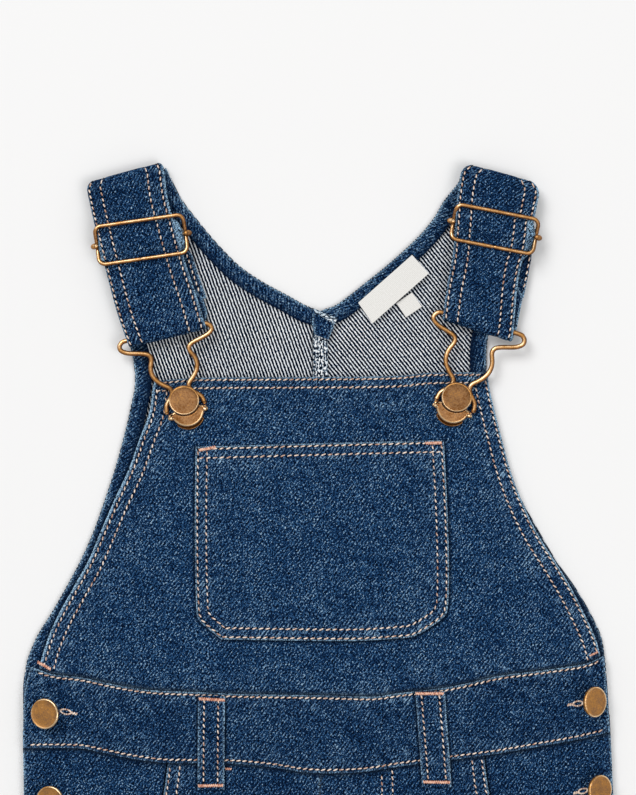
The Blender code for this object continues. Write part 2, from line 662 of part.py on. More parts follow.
def wire(name, points, radius, cyclic=False):
    """A round wire as a bevelled curve with filled ends."""
    curve = bpy.data.curves.new(name, "CURVE")
    curve.dimensions = "3D"
    curve.bevel_depth = radius * MM
    curve.bevel_resolution = 1
    curve.use_fill_caps = not cyclic
    spline = curve.splines.new("POLY")
    placed = place(points)
    spline.points.add(len(placed) - 1)
    spline.points.foreach_set("co", np.column_stack([placed, np.ones(len(placed))]).ravel())
    spline.use_cyclic_u = cyclic
    made = bpy.data.objects.new(name, curve)
    made.data.materials.append(finish(name, BRASS, 0.35, 1.0))
    bpy.context.scene.collection.objects.link(made)


def through(points):
    """A smooth curve through the points, with one more point in the middle of each step."""
    points = np.array(points, float)
    padded = np.concatenate([2 * points[:1] - points[1:2], points, 2 * points[-1:] - points[-2:-1]])
    middle = (9 * (padded[1:-2] + padded[2:-1]) - padded[:-3] - padded[3:]) / 16
    return np.insert(points, np.arange(1, len(points)), middle, axis=0)


def build_slider(side):
    """A bowed rectangular frame and the bar that hooks round its two short sides."""
    half_length, half_width = SLIDERS[side][3:]
    inset = np.array([half_length, half_width]) - SLIDER_CORNER
    turns = ((0, 1, 1), (90, -1, 1), (180, -1, -1), (270, 1, -1))
    corners = [arc(inset * (x, y), SLIDER_CORNER, turn, turn + 90, 4) for turn, x, y in turns]
    outline = np.concatenate([*corners[:2], [(-half_length, 0)], *corners[2:], [(half_length, 0)]])
    x, y = turned_to(SLIDERS[side], *outline.T)
    z = SLIDER_HEIGHT - SLIDER_BOW * (1 - (outline[:, 1] / half_width) ** 2) ** 2
    wire(f"slider_frame_{side}", np.column_stack([x, y, z]), SLIDER_WIRE, cyclic=True)

    hook = arc((half_length, SLIDER_BAR_HEIGHT + SLIDER_HOOK), SLIDER_HOOK, -90, 75, 8)
    straight = [(half_length / 2 * share, SLIDER_BAR_HEIGHT) for share in (-1, 0, 1)]
    across, height = np.concatenate([hook[::-1] * (-1, 1), straight, hook]).T
    x, y = turned_to(SLIDERS[side], across, 0 * across)
    wire(f"slider_bar_{side}", np.column_stack([x, y, height]), SLIDER_BAR_WIRE)


def build_clip(side):
    """The bent wire that holds the strap's end, and the catch plate that joins its two ends."""
    clip = CLIPS[side]
    stretch, shear, shift = clip[3:]
    half = np.array(CLIP_HALF, float)
    across, along = np.concatenate([half[::-1] * (-1, 1), half[1:]]).T
    along = stretch * along
    share = along / (stretch * half[0, 1])
    x, y = turned_to(clip, across + shift, along + shear * across * np.clip(share, 0, 1))
    z = CLIP_RING_HEIGHT + (STRAP_LOOP_HEIGHT - CLIP_RING_HEIGHT) * smoothstep(share)
    wire(f"clip_wire_{side}", through(np.column_stack([x, y, z])), CLIP_WIRE)

    lug = np.array(PLATE_LUG)
    rim = arc((0, -PLATE_DROP), PLATE_RADIUS, -170, -10, 15)
    notch = arc((0, 0), PLATE_NOTCH, -36, -144, 9)
    x, y = turned_to(clip, *np.concatenate([rim, lug, notch, lug[::-1] * (-1, 1)]).T)
    flat_piece(f"clip_plate_{side}", np.column_stack([x, y]), ON_FRONT, BRASS, PLATE_THICK, 0.35, 1.0)


def turned(profile, tilt, lean):
    """Points and faces of a turned solid, tilted about its across axis and then leant about the upright."""
    angles = np.linspace(0, 2 * np.pi, BUTTON_SEGMENTS, endpoint=False)
    radius, height = np.array(profile, float).T
    x, y = np.outer(radius, np.cos(angles)), np.outer(radius, np.sin(angles))
    z = np.repeat(height[:, None], BUTTON_SEGMENTS, axis=1)
    cos, sin = math.cos(math.radians(tilt)), math.sin(math.radians(tilt))
    y, z = y * cos - z * sin, y * sin + z * cos
    x, y = turned_to((0, 0, lean), x, y)
    number = np.arange(x.size).reshape(x.shape)
    after = np.roll(number, -1, axis=1)
    sides = np.stack([number[:-1], after[:-1], after[1:], number[1:]], axis=2).reshape(-1, 4)
    faces = [*sides.tolist(), number[0, ::-1].tolist(), number[-1].tolist()]
    return np.column_stack([x.ravel(), y.ravel(), z.ravel()]), faces


def build_buttons():
    """Bib buttons in their clips, and the side buttons, whose rims rest on the cloth."""
    for side in SIGN:
        x, y, lean = CLIPS[side][:3]
        points, faces = turned(BUTTON_PROFILE, BIB_BUTTON_TILT, lean)
        add_mesh(f"bib_button_{side}", points + (x, y, BIB_BUTTON_RISE), faces, BRASS, 0.35, 1.0)
    for name, x, y, level, tilt in SIDE_BUTTONS:
        profile = np.array(BUTTON_PROFILE, float)
        rim, shank = profile[:, 0].max(), profile[0, 0]
        profile[0, 1] = -(rim - shank) * math.tan(math.radians(abs(tilt)))
        points, faces = turned(profile, tilt, 90)
        rise = level + float(relief(np.array(x), np.array(y))) - points[:, 2].min()
        add_mesh(f"side_button_{name}", points + (x, y, rise), faces, BRASS, 0.35, 1.0)


def build_labels():
    for name, row, level in (("neck_label", NECK_LABEL, FRONT), ("size_label", SIZE_LABEL, HEMS)):
        length, depth = row[3:]
        corners = np.array([(0, 0), (length, 0), (length, -depth), (0, -depth)], float)
        x, y = turned_to(row, corners[:, 0], corners[:, 1])
        flat_piece(name, np.column_stack([x, y]), level, LABEL)


def main():
    for old in list(bpy.data.objects):
        bpy.data.objects.remove(old)
    neck_corner = min(build_upper_back("left"), build_upper_back("right"))
    build_back_seam(neck_corner - 1.0)
    build_lower_back()
    build_button_stands()
    build_bib()
    build_patch_pocket()
    build_front_legs()
    build_waistband()
    build_belt_loops()
    for side in SIGN:
        build_strap(side)
        build_slider(side)
        build_clip(side)
    build_buttons()
    build_labels()


main()
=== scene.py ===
# %% [markdown]
# # Child's denim dungarees, laid flat on their back
#
# The garment lies on a pale table: bib and front legs on top, the inside of the back showing at the
# neck, and the shoulder straps folded over to the front with their sliders and clips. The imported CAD
# model is the fixed frame. Every piece that a maker would cut and sew is made again here as thin
# cloth, in the same place, and carries its own weave, puckers and wear.

# %% Load the fixed frame
import math

import bpy
import numpy as np
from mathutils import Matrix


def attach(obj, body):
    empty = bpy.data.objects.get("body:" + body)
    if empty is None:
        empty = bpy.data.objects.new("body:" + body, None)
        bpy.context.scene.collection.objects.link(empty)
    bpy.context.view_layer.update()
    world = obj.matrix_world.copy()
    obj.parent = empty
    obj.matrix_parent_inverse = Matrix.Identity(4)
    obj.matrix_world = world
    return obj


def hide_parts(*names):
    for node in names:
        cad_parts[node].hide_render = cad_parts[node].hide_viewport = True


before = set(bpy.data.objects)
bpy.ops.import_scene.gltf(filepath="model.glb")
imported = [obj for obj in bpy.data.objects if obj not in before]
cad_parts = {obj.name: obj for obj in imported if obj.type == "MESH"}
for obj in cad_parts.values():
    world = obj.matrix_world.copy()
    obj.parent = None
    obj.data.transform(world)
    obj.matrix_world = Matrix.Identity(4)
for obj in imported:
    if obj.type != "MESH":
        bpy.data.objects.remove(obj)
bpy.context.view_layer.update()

# %% [markdown]
# A pattern cutter works in millimetres from the waist seam at the centre front, so all tables do too:
# x runs to the right, y up towards the shoulders, z up from the table. `place` turns such points into
# metres about the middle of the garment. The layers of cloth lie 1.4 mm apart.

# %% Units, layers and the levels they lie on
MM = 0.001
MIDDLE = (1.0, -38.85, 0.0)
# Thickness of denim and of a strap, the gap between pieces, and a distance for where nothing is near.
WALL, STRAP_WALL, GAP, FAR = 1.1, 1.6, 0.3, 99.0
LAYER = WALL + GAP
BACK, HEMS, FRONT, ON_FRONT, ON_BAND = (LAYER * level for level in range(5))
# The middle of the front, the heights of the hems and of the crotch.
CENTRE, HEM, CROTCH = 1.8, -358.0, -165.0
SIGN = {"left": -1, "right": 1}


def place(points):
    """Garment millimetres to metres: the middle is taken off and the rest is scaled."""
    return (np.asarray(points, float) - MIDDLE) * MM


def cos_sin(degrees):
    """Cosine and sine of an angle in degrees."""
    return math.cos(math.radians(degrees)), math.sin(math.radians(degrees))


print("levels of the cloth in mm:", [round(level, 1) for level in (BACK, HEMS, FRONT, ON_FRONT, ON_BAND)])

# %% [markdown]
# The garment is seen from straight above. A long lens far away keeps the raised buckles from leaning
# outwards. The light is a wide soft window at the upper left, a white wall that sends some of it back
# from the lower right, and a dim room around them.

# %% Camera
# Lens and sensor in millimetres, then the middle and width of the view and the height of the cloth in metres.
LENS, SENSOR, VIEW, SEEN, CLOTH_HEIGHT = 135.0, 36.0, (-0.0001, 0.2111), 0.3657, 0.005
camera = bpy.data.objects.new("camera", bpy.data.cameras.new("camera"))
camera.data.lens, camera.data.sensor_width = LENS, SENSOR
camera.location = (*VIEW, CLOTH_HEIGHT + SEEN * LENS / SENSOR)
bpy.context.scene.collection.objects.link(camera)
bpy.context.scene.camera = camera
bpy.context.scene.view_settings.view_transform = "Standard"
print("camera height in mm:", round(camera.location.z / MM))

# %% Colours, nodes and materials


def linear(code):
    """An sRGB hex colour as linear red, green, blue, alpha: the dark toe is divided, the rest is a power."""
    value = np.array([int(code[i : i + 2], 16) for i in (1, 3, 5)]) / 255
    value = np.where(value <= 0.04045, value / 12.92, ((value + 0.055) / 1.055) ** 2.4)
    return (*value.tolist(), 1.0)


def feed(node, inputs):
    """Sets or links each input by name or number. A node given as a value stands for its first output."""
    for name, value in inputs.items():
        if isinstance(value, bpy.types.Node):
            value = value.outputs[0]
        if isinstance(value, bpy.types.NodeSocket):
            node.id_data.links.new(value, node.inputs[name])
        else:
            node.inputs[name].default_value = value
    return node


def add_node(tree, kind, inputs, stops=(), **settings):
    """Adds one node with its settings, its colour stops if it has any, and its inputs."""
    node = tree.nodes.new("ShaderNode" + kind)
    for name, value in settings.items():
        setattr(node, name, value)
    while stops and len(node.color_ramp.elements) < len(stops):
        node.color_ramp.elements.new(1.0)
    for stop, (at, code) in zip(node.color_ramp.elements if stops else (), stops):
        stop.position, stop.color = at, linear(code)
    return feed(node, inputs)


def new_finish(name):
    """An empty Principled material, its tree and its shader."""
    made = bpy.data.materials.new(name)
    made.use_nodes = True
    return made, made.node_tree, made.node_tree.nodes["Principled BSDF"]


print("middle grey #808080 as light:", round(linear("#808080")[0], 3))

# %% Light and table


def soft_light(name, location, size, power):
    """A square area light that points at the middle of the view."""
    lamp = bpy.data.objects.new(name, bpy.data.lights.new(name, "AREA"))
    lamp.data.size, lamp.data.energy = size, power
    lamp.location = location
    aim = camera.location.copy()
    aim.z = 0
    lamp.rotation_euler = (aim - lamp.location).to_track_quat("-Z", "Y").to_euler()
    bpy.context.scene.collection.objects.link(lamp)


# Columns: name, place in metres, size in metres, watts.
for lamp in (("window", (-1.6, 2.3, 3.2), 2.1, 93.0), ("white_wall", (1.1, -0.6, 2.4), 1.6, 26.0)):
    soft_light(*lamp)
    print("light:", lamp[0], lamp[3], "W")
world = bpy.data.worlds.new("room")
world.use_nodes = True
feed(world.node_tree.nodes["Background"], {"Color": linear("#f7f6f5"), "Strength": 0.43})
bpy.context.scene.world = world

TABLE_HALF = 3.0
paper, _, shader = new_finish("white_paper")
feed(shader, {"Base Color": linear("#f1f1f1"), "Roughness": 0.9})
table = bpy.data.meshes.new("table")
corners = [(-1, -1, 0), (1, -1, 0), (1, 1, 0), (-1, 1, 0)]
table.from_pydata([[TABLE_HALF * axis for axis in corner] for corner in corners], [], [(0, 1, 2, 3)])
table.materials.append(paper)
floor = bpy.data.objects.new("table", table)
floor.location.z = -0.0002
bpy.context.scene.collection.objects.link(floor)

# %% [markdown]
# ## Denim
#
# Denim is a cotton twill: blue warp threads pass over three white weft threads and under one, so the
# face is blue with pale flecks along steep diagonal wales, and the inside is white with navy lines.
# The pattern is worked out on the cloth's own coordinates, the `weave` attribute, in millimetres along
# and across the grain. Four warp threads 0.36 mm apart set the wales 1.45 mm apart, and those are one
# wave. The floats are noise in cells of 0.42 x 1 mm, the finest that shows in a view of the whole
# garment, once along the twill and once across it. Longer cells of 0.75 x 4 mm streak the face along
# the twill, and clouds 15 mm wide come from the wash.
#
# Wear follows the sewing, so it reads two more attributes. `seam` holds the distance from the seam,
# the strength of the wear there, and the distance to a piece that lies on top as a share of how far
# its painted shadow reaches. `rows` holds where the two rows of stitches run, and how worn the edge is.
# High places lose their indigo in streaks along the twill and at frayed edges. Shade is painted into the
# colour as well: the grooves beside each row get painted shade, and the cloth beside an edge on top gets a
# painted shadow.

# %% One denim finish
# Spacing of the wales, and cells of each noise across and along the twill, in millimetres.
WALE, FLECK, CROSSED, STREAK, CLOUD = 1.45, (0.42, 1.0), (0.42, 1.0), (0.75, 4.0), (15.0, 15.0)
# Turns between the noises, how far the wear of an edge and the painted shade of a row's groove reach in
# millimetres.
CROSS_TURN, EDGE_REACH, ROW_GROOVE = 80.0, 1.4, 1.15
# How strongly edges are worn, then how much is seen of wear in the tone and bare thread, of painted shade in
# grooves, and of the painted shade tint.
EDGE_WEAR, WORN_TONE, WORN_THREAD, GROOVE_SHADE, DEEP_SHADE = 1.25, 0.16, 0.85, 0.58, 0.9
RELIEF = 0.12
# A wave texture of scale 1 repeats after this length.
WAVE_BAND = 2 * math.pi / 20


def denim(name, tones, worn, painted_shade_tint, slant, shares, patches, level, fleck=FLECK):
    """Tone = (wales + flecks + streaks) times cloudy patches + clouds, lifted by wear, then painted shade in
    grooves and painted shadow under edges.
    """
    made, tree, shader = new_finish(name)
    weave, seam, rows = (
        add_node(tree, "Attribute", {}, attribute_name=key).outputs["Vector"]
        for key in ("weave", "seam", "rows")
    )
    away, strength, shadow_distance = add_node(tree, "SeparateXYZ", {0: seam}).outputs
    *rows, edge_wear = add_node(tree, "SeparateXYZ", {0: rows}).outputs
    turned = add_node(tree, "Mapping", {"Vector": weave, "Rotation": (0, 0, math.radians(slant))})
    settings = {"Scale": WAVE_BAND / WALE, "Distortion": 1.1, "Detail": 2.0, "Detail Scale": 2.0}
    wale = add_node(tree, "TexWave", {"Vector": turned, **settings}).outputs["Fac"]
    noises = []
    for angle, cell, detail in (
        (slant, fleck, 1.0), (slant - CROSS_TURN, CROSSED, 1.0), (slant, STREAK, 2.0), (0, CLOUD, 4.0),
    ):
        turned = add_node(tree, "Mapping", {"Vector": weave, "Rotation": (0, 0, math.radians(angle))})
        cells = add_node(tree, "Mapping", {"Vector": turned, "Scale": (1 / cell[0], 1 / cell[1], 1)})
        rough = {"Scale": 1.0, "Detail": detail, "Roughness": 0.7}
        noises.append(add_node(tree, "TexNoise", {"Vector": cells, **rough}))
    fleck, crossed, streak, cloud = noises
    weaving = 0.0
    for source, share in zip((wale, fleck, crossed, streak), shares):
        middled = add_node(tree, "Math", {0: source, 1: 0.5}, operation="SUBTRACT")
        weaving = add_node(tree, "Math", {0: middled, 1: share, 2: weaving}, operation="MULTIPLY_ADD")
    limits = {"From Min": 0.3, "From Max": 0.7, "To Min": patches[0], "To Max": patches[1]}
    patch = add_node(tree, "MapRange", {"Value": cloud, **limits})
    base = level - 0.5 * shares[4]
    clouds = add_node(tree, "Math", {0: cloud, 1: shares[4], 2: base}, operation="MULTIPLY_ADD")
    tone = add_node(tree, "Math", {0: weaving, 1: patch, 2: clouds}, operation="MULTIPLY_ADD")

    near = []
    for row in rows:
        gap = add_node(tree, "Math", {0: away, 1: row}, operation="SUBTRACT")
        near.append((add_node(tree, "Math", {0: gap}, operation="ABSOLUTE"), ROW_GROOVE))
    near += [(away, EDGE_REACH), (shadow_distance, 1.0)]
    limits, eased = {"To Min": 1.0, "To Max": 0.0}, {"interpolation_type": "SMOOTHSTEP"}
    first, second, edge, painted_shadow = (
        add_node(tree, "MapRange", {"Value": source, "From Max": reach, **limits}, **eased)
        for source, reach in near
    )
    frayed = add_node(tree, "MapRange", {"Value": fleck, "From Min": 0.42, "From Max": 0.6})
    limits = {"From Min": 0.4, "From Max": 0.6, "To Min": 0.4, "To Max": 1.3}
    scattered = add_node(tree, "MapRange", {"Value": cloud, **limits})
    for factor in (edge_wear, frayed, scattered, EDGE_WEAR):
        edge = add_node(tree, "Math", {0: edge, 1: factor}, operation="MULTIPLY")
    raked = add_node(tree, "Math", {0: wale, 1: 0.1, 2: streak}, operation="MULTIPLY_ADD")
    raked = add_node(tree, "Math", {0: fleck, 1: 0.4, 2: raked}, operation="MULTIPLY_ADD")
    ridge = add_node(tree, "MapRange", {"Value": raked, "From Min": 0.77, "From Max": 1.0})
    ridge = add_node(tree, "Math", {0: ridge, 1: scattered}, operation="MULTIPLY")
    rubbed = add_node(tree, "Math", {0: ridge, 1: strength, 2: edge}, operation="MULTIPLY_ADD", use_clamp=True)
    # Painted shade: the grooves beside the rows, and the cloth near an edge on top as painted shadow, are
    # mixed towards the painted shade tint.
    groove = add_node(tree, "Math", {0: first, 1: second}, operation="MAXIMUM")
    groove = add_node(tree, "Math", {0: groove, 1: GROOVE_SHADE}, operation="MULTIPLY")
    painted_shade = add_node(tree, "Math", {0: groove, 1: painted_shadow}, operation="MAXIMUM")
    lifted = add_node(tree, "Math", {0: rubbed, 1: WORN_TONE, 2: tone}, operation="MULTIPLY_ADD")
    colour = add_node(tree, "ValToRGB", {"Fac": lifted}, tones)
    for amount, share, tint in ((rubbed, WORN_THREAD, worn), (painted_shade, DEEP_SHADE, painted_shade_tint)):
        seen = add_node(tree, "Math", {0: amount, 1: share}, operation="MULTIPLY")
        mixed = add_node(tree, "Mix", {"Factor": seen, "A": colour, "B": linear(tint)}, data_type="RGBA")
        colour = mixed.outputs["Result"]
    height = add_node(tree, "Math", {0: rubbed, 1: 0.8, 2: lifted}, operation="MULTIPLY_ADD")
    height = add_node(tree, "Math", {0: groove, 1: -2.0, 2: height}, operation="MULTIPLY_ADD")
    raised = add_node(tree, "Bump", {"Height": height, "Distance": RELIEF * MM, "Strength": 0.8})
    feed(shader, {"Base Color": colour, "Normal": raised, "Roughness": 1.0, "Specular IOR Level": 0.06})
    feed(shader, {"Sheen Weight": 0.04, "Sheen Roughness": 0.5, "Sheen Tint": linear("#5a8fc8")})
    return made


print("a wave of scale 1 repeats after", round(WAVE_BAND, 3))

# %% Denim finishes
# Columns: tone, colour, from the deepest indigo to a bare weft thread.
FACE_TONES = (
    (0.0, "#00040e"), (0.3, "#041a39"), (0.5, "#113156"), (0.7, "#2c5886"), (0.87, "#5a84a6"),
    (1.0, "#a3bccc"),
)
WEFT_TONES = ((0.0, "#000614"), (0.4, "#071630"), (0.5, "#33455f"), (0.62, "#c8d1da"), (1.0, "#fdfdfb"))
MIXED_TONES = ((0.0, "#020814"), (0.36, "#0f2440"), (0.5, "#4d6e8b"), (0.6, "#b0c1ce"), (1.0, "#fbfcfc"))
# Columns: finish, tones, worn thread, painted shade tint, slant of the twill, shares of wales, flecks, crossed
# flecks, streaks and clouds, least and most of a patch, middle tone, and the flecks' cells where they differ.
FINISH = {
    kind: denim(*settings) for kind, *settings in (
        (
            "face", "stonewashed_denim_face", FACE_TONES, "#a2c8e4", "#021026", 36.0,
            (0.22, 2.4, 1.6, 1.1, 0.28), (0.85, 1.1), 0.398,
        ), (
            "body", "darker_denim_face", FACE_TONES, "#a0c6e2", "#021026", 36.0,
            (0.22, 2.4, 1.6, 1.1, 0.34), (0.85, 1.1), 0.35,
        ), (
            "inside", "denim_weft_side", WEFT_TONES, "#9dbcd4", "#040a16", -30.0,
            (1.0, 1.3, 0.0, 0.0, 0.2), (1.0, 1.0), 0.36,
        ), (
            "felled", "felled_seam_weft_side", MIXED_TONES, "#b4cde0", "#040a16", -30.0,
            (0.5, 5.4, 0.7, 0.0, 0.4), (1.0, 1.0), 0.425, (0.75, 1.3),
        ),
    )
}
print("finishes:", list(FINISH))

# %% [markdown]
# ## Curves and cloth grids
#
# Each panel is a grid between four edges. The edges are short tables of measured sections, joined by
# smooth curves that never overshoot, so neighbours which share an edge keep their 0.3 mm seam gap.

# %% Curves from tables


def column(rows, index):
    """The function of the first column that a column's values follow: cubic steps with limited slopes."""
    rows = np.array([(row[0], row[index]) for row in rows], float)
    x, y = rows[np.argsort(rows[:, 0])].T
    step, rise = np.diff(x), np.diff(y)
    slope = rise / step
    tangent = np.concatenate([[slope[0]], (slope[1:] + slope[:-1]) / 2, [slope[-1]]])
    tangent[1:-1][slope[1:] * slope[:-1] <= 0] = 0
    limit = 3 * np.minimum(np.abs(np.append(slope, slope[-1])), np.abs(np.append(slope[0], slope)))
    tangent = np.clip(tangent, -limit, limit)

    def value(at):
        at = np.clip(np.asarray(at, float), x[0], x[-1])
        i = np.clip(np.searchsorted(x, at, side="right") - 1, 0, len(step) - 1)
        t = (at - x[i]) / step[i]
        lead = step[i] * t * (1 - t) * ((1 - t) * tangent[i] - t * tangent[i + 1])
        return y[i] + rise[i] * (3 - 2 * t) * t * t + lead

    return value


def smoothstep(value):
    """0 below 0, 1 above 1, and 3 t² - 2 t³ between."""
    t = np.clip(value, 0, 1)
    return t * t * (3 - 2 * t)


print("smooth step at a quarter and a half:", smoothstep(0.25), smoothstep(0.5))

# %% Lines of points


def run_of(line):
    """Length along a polyline up to each of its points."""
    return np.concatenate([[0], np.cumsum(np.linalg.norm(np.diff(line, axis=0), axis=1))])


def points_at(line, lengths):
    """Points at these lengths along a polyline."""
    run = run_of(line)
    return np.column_stack([np.interp(lengths, run, axis) for axis in line.T])


def walked(line, spacing):
    """The polyline with its points moved to even steps along it."""
    line = np.asarray(line, float)
    total = run_of(line)[-1]
    return points_at(line, np.linspace(0, total, max(2, int(round(total / spacing)) + 1)))


def beside(line, distance):
    """The polyline moved to its left by the distance, square to its own direction at each point."""
    along = np.gradient(line, axis=0)
    along /= np.linalg.norm(along, axis=1)[:, None]
    return line + distance * np.column_stack([-along[:, 1], along[:, 0]])


def straight(value):
    """An edge that stays at one height, or at one x."""
    return lambda at: value + 0 * at


def upright(function, low, high, count=50):
    """Points of an edge that is x as a function of the height."""
    heights = np.linspace(low, high, count)
    return np.column_stack([function(heights), heights])


def level_edge(function, left, right, count=50):
    """Points of an edge that is a height as a function of x."""
    x = np.linspace(left, right, count)
    return np.column_stack([x, function(x)])


def nearest(x, y, line):
    """Distance from each point to a polyline, and the length along it of the nearest place."""
    points = np.column_stack([np.ravel(x), np.ravel(y)])
    step = np.diff(line, axis=0)
    square = np.maximum((step**2).sum(axis=1), 1e-12)
    run = np.concatenate([[0], np.cumsum(np.sqrt(square))])
    distance, along = np.empty(len(points)), np.empty(len(points))
    for part in np.array_split(np.arange(len(points)), 1 + len(points) * len(step) // 1000000):
        gap = points[part, None] - line[:-1]
        t = np.clip((gap * step).sum(axis=2) / square, 0, 1)
        off = ((gap - t[..., None] * step) ** 2).sum(axis=2)
        best = off.argmin(axis=1)
        row = np.arange(len(part))
        distance[part] = np.sqrt(off[row, best])
        along[part] = run[best] + t[row, best] * np.sqrt(square[best])
    return distance.reshape(np.shape(x)), along.reshape(np.shape(x))


print("3 mm above the end of a 4 mm line:", nearest(4.0, 3.0, upright(straight(4.0), -4.0, 0.0, 2)))

# %% Cloth grids


def shares(length, step):
    """Shares from 0 to 1 that are close together at both ends, where an edge rolls over."""
    near = np.array([0, 0.05, 0.18, 0.38, 0.65, 1.1]) / length
    count = max(2, int(round((length - 2.2) / step)))
    return np.concatenate([near, np.linspace(near[-1], 1 - near[-1], count + 1)[1:-1], 1 - near[::-1]])


def between(left, right, bottom, top, across, along):
    """Grid points between four edges: left and right give x of a height, bottom and top a height of x."""
    u, v = np.meshgrid(across, along)
    x = np.zeros(u.shape)
    # Each edge is a function of the other axis, so x and y are found in turn until they stay put.
    for _ in range(30):
        y = bottom(x) + (top(x) - bottom(x)) * v
        x = left(y) + (right(y) - left(y)) * u
    return x, y


def ruled(first, second, along, across):
    """Grid points on straight threads between two polylines."""
    first, second = (points_at(line, along * run_of(line)[-1]) for line in (first, second))
    grid = first[:, None] + (second - first)[:, None] * across[:, None]
    return grid[..., 0], grid[..., 1]


print("shares of a 10 mm edge:", shares(10.0, 2.0).round(2))

# %% [markdown]
# The front does not lie dead flat. Long round folds stay in it from wearing, and at the side seams and
# inseams the front comes down to the back, where the two are sewn together. These are the folds of
# the CAD model, so each panel follows the one below.

# %% The folds of the front
# Columns: x, height, direction in degrees, length, width, rise.
CREASES = (
    (-78, 58, -14, 60, 9, 0.7), (70, 58, 16, 60, 9, 0.6), (4, 108, 80, 90, 26, 0.9),
    (-96, -18, -18, 70, 12, 1.0), (96, -14, 20, 70, 12, 0.9), (-34, -112, 138, 90, 11, 1.6),
    (40, -116, 40, 84, 11, 1.5), (-62, -150, 160, 90, 12, 1.3), (70, -154, 22, 86, 12, 1.2),
    (-78, -240, 8, 80, 13, 1.2), (84, -250, -10, 76, 13, 1.3), (-72, -262, -14, 70, 12, 0.9),
    (-76, -315, 84, 70, 16, 1.0), (80, -312, 96, 74, 16, 1.0),
)
# Columns: height, left side, left inseam, right inseam, right side.
BODY_SECTIONS = (
    (51, -133.5, 1.8, 1.8, 133.5), (38, -135.2, 1.8, 1.8, 134.5), (12, -135.0, 1.8, 1.8, 135.9),
    (-11, -134.6, 1.8, 1.8, 136.9), (-45, -136.4, 1.8, 1.8, 138.9), (-85, -139.4, 1.8, 1.8, 141.4),
    (-125, -140.5, 1.8, 1.8, 142.5), (-165, -138.2, 1.8, 1.8, 140.2), (-174, -137.4, -2.6, 6.2, 139.4),
    (-190, -136.0, -7.6, 11.2, 138.0), (-225, -132.8, -14.4, 18.0, 134.8), (-290, -128.0, -22.4, 26.0, 130.0),
    (-358, -123.6, -27.2, 30.8, 125.8),
)
SIDE = {"left": column(BODY_SECTIONS, 1), "right": column(BODY_SECTIONS, 4)}
INSEAM = {"left": column(BODY_SECTIONS, 2), "right": column(BODY_SECTIONS, 3)}
# How far in from a side the front comes down, over what height and how far under the button stand it
# starts to, and the height of the stand's foot.
EDGE_ROLL, EDGE_FADE, EDGE_START, STAND_END = 12.0, 24.0, 4.0, -88.0


def relief(x, y):
    """Height of the folds: each is a bell across and a longer bell along its direction."""
    total = np.zeros(np.broadcast(x, y).shape)
    for centre_x, centre_y, direction, length, width, rise in CREASES:
        cos, sin = cos_sin(direction)
        along = (x - centre_x) * cos + (y - centre_y) * sin
        across = (y - centre_y) * cos - (x - centre_x) * sin
        total += rise * np.exp(-((along / (0.5 * length)) ** 2) - (across / width) ** 2)
    return total


def front_height(x, y):
    """Underside of the front: its level plus the folds, eased down by one layer at the leg seams."""
    to_side = np.minimum(x - SIDE["left"](y), SIDE["right"](y) - x)
    to_inseam = np.where(x < CENTRE, INSEAM["left"](y) - x, x - INSEAM["right"](y))
    side = (1 - smoothstep(to_side / EDGE_ROLL)) * smoothstep((STAND_END - EDGE_START - y) / EDGE_FADE)
    inseam = (1 - smoothstep(to_inseam / EDGE_ROLL)) * smoothstep((CROTCH - y) / EDGE_FADE)
    drop = np.maximum(side, inseam)
    return FRONT + relief(x, y) * (1 - drop) - LAYER * drop


print(len(CREASES), "folds, up to", max(rise for *_, rise in CREASES), "mm high")

# %% [markdown]
# Sewing shapes cloth more than anything else. Each row of stitches pulls a groove, a turned hem is
# thicker than the single cloth beyond it, and a seam that shrank more than the cloth in the wash
# puckers it into short slanted ridges that fade over a few millimetres. `sewing` adds these up from
# the distance to each seam line, and marks the ridges and folded edges as worn.

# %% Sewn relief
# Depth and width of a row's groove, the step at a turned hem, and the least cloth that is left.
GROOVE, GROOVE_WIDTH, HEM_STEP, LEAST_WALL = 0.26, 0.55, 0.28, 0.35
# Puckers: slant of the ridges, how far and over what length they sway, lengths of the two waves.
PUCKER_SLANT, SWAY, SWAY_RUN, LONG_WAVE, SHORT_WAVE = 0.45, 1.4, 11.0, 6.9, 4.1


def seam(line, rows=(), hem=0.0, pucker=0.26, worn=1.0, reach=4.5, edge=None):
    """A seam line, its stitch rows and hem as distances from it, and how much it puckers and wears."""
    edge = worn if edge is None else edge
    return {
        "line": line, "rows": rows, "hem": hem, "pucker": pucker, "worn": worn, "reach": reach, "edge": edge,
    }


def sewing(x, y, seams):
    """Depth below the highest face and the wear marks: grooves are bells, puckers two waves along the seam."""
    depth, strength, single = np.zeros(np.shape(x)), np.zeros(np.shape(x)), 1.0
    closest = np.full(np.shape(x), FAR)
    marks = np.zeros((*np.shape(x), 3)) - (FAR, FAR, 0)
    for kind in seams:
        away, run = nearest(x, y, kind["line"])
        for row in kind["rows"]:
            depth = depth + GROOVE * np.exp(-(((away - row) / GROOVE_WIDTH) ** 2))
        inner = max(kind["rows"], default=0.0)
        slanted = run + PUCKER_SLANT * away + SWAY * np.sin(run / SWAY_RUN)
        long_wave = 0.6 * np.sin(slanted * 2 * math.pi / LONG_WAVE)
        wave = long_wave + 0.4 * np.sin(slanted * 2 * math.pi / SHORT_WAVE + 2)
        fade = np.exp(-np.maximum(away - inner, 0) / kind["reach"]) * smoothstep(away / 1.5)
        depth = depth + kind["pucker"] * (1 - wave) / 2 * fade
        strength = np.maximum(strength, kind["worn"] * (0.3 + 0.7 * np.clip(wave, 0, 1)) * fade)
        row_marks = [*kind["rows"], -FAR, -FAR][:2]
        marks = np.where((away < closest)[..., None], [*row_marks, kind["edge"]], marks)
        closest = np.minimum(closest, away)
        if kind["hem"]:
            single = single * smoothstep((away - kind["hem"]) / 1.3)
    return depth + HEM_STEP * single, closest, np.clip(strength, 0, 1), marks


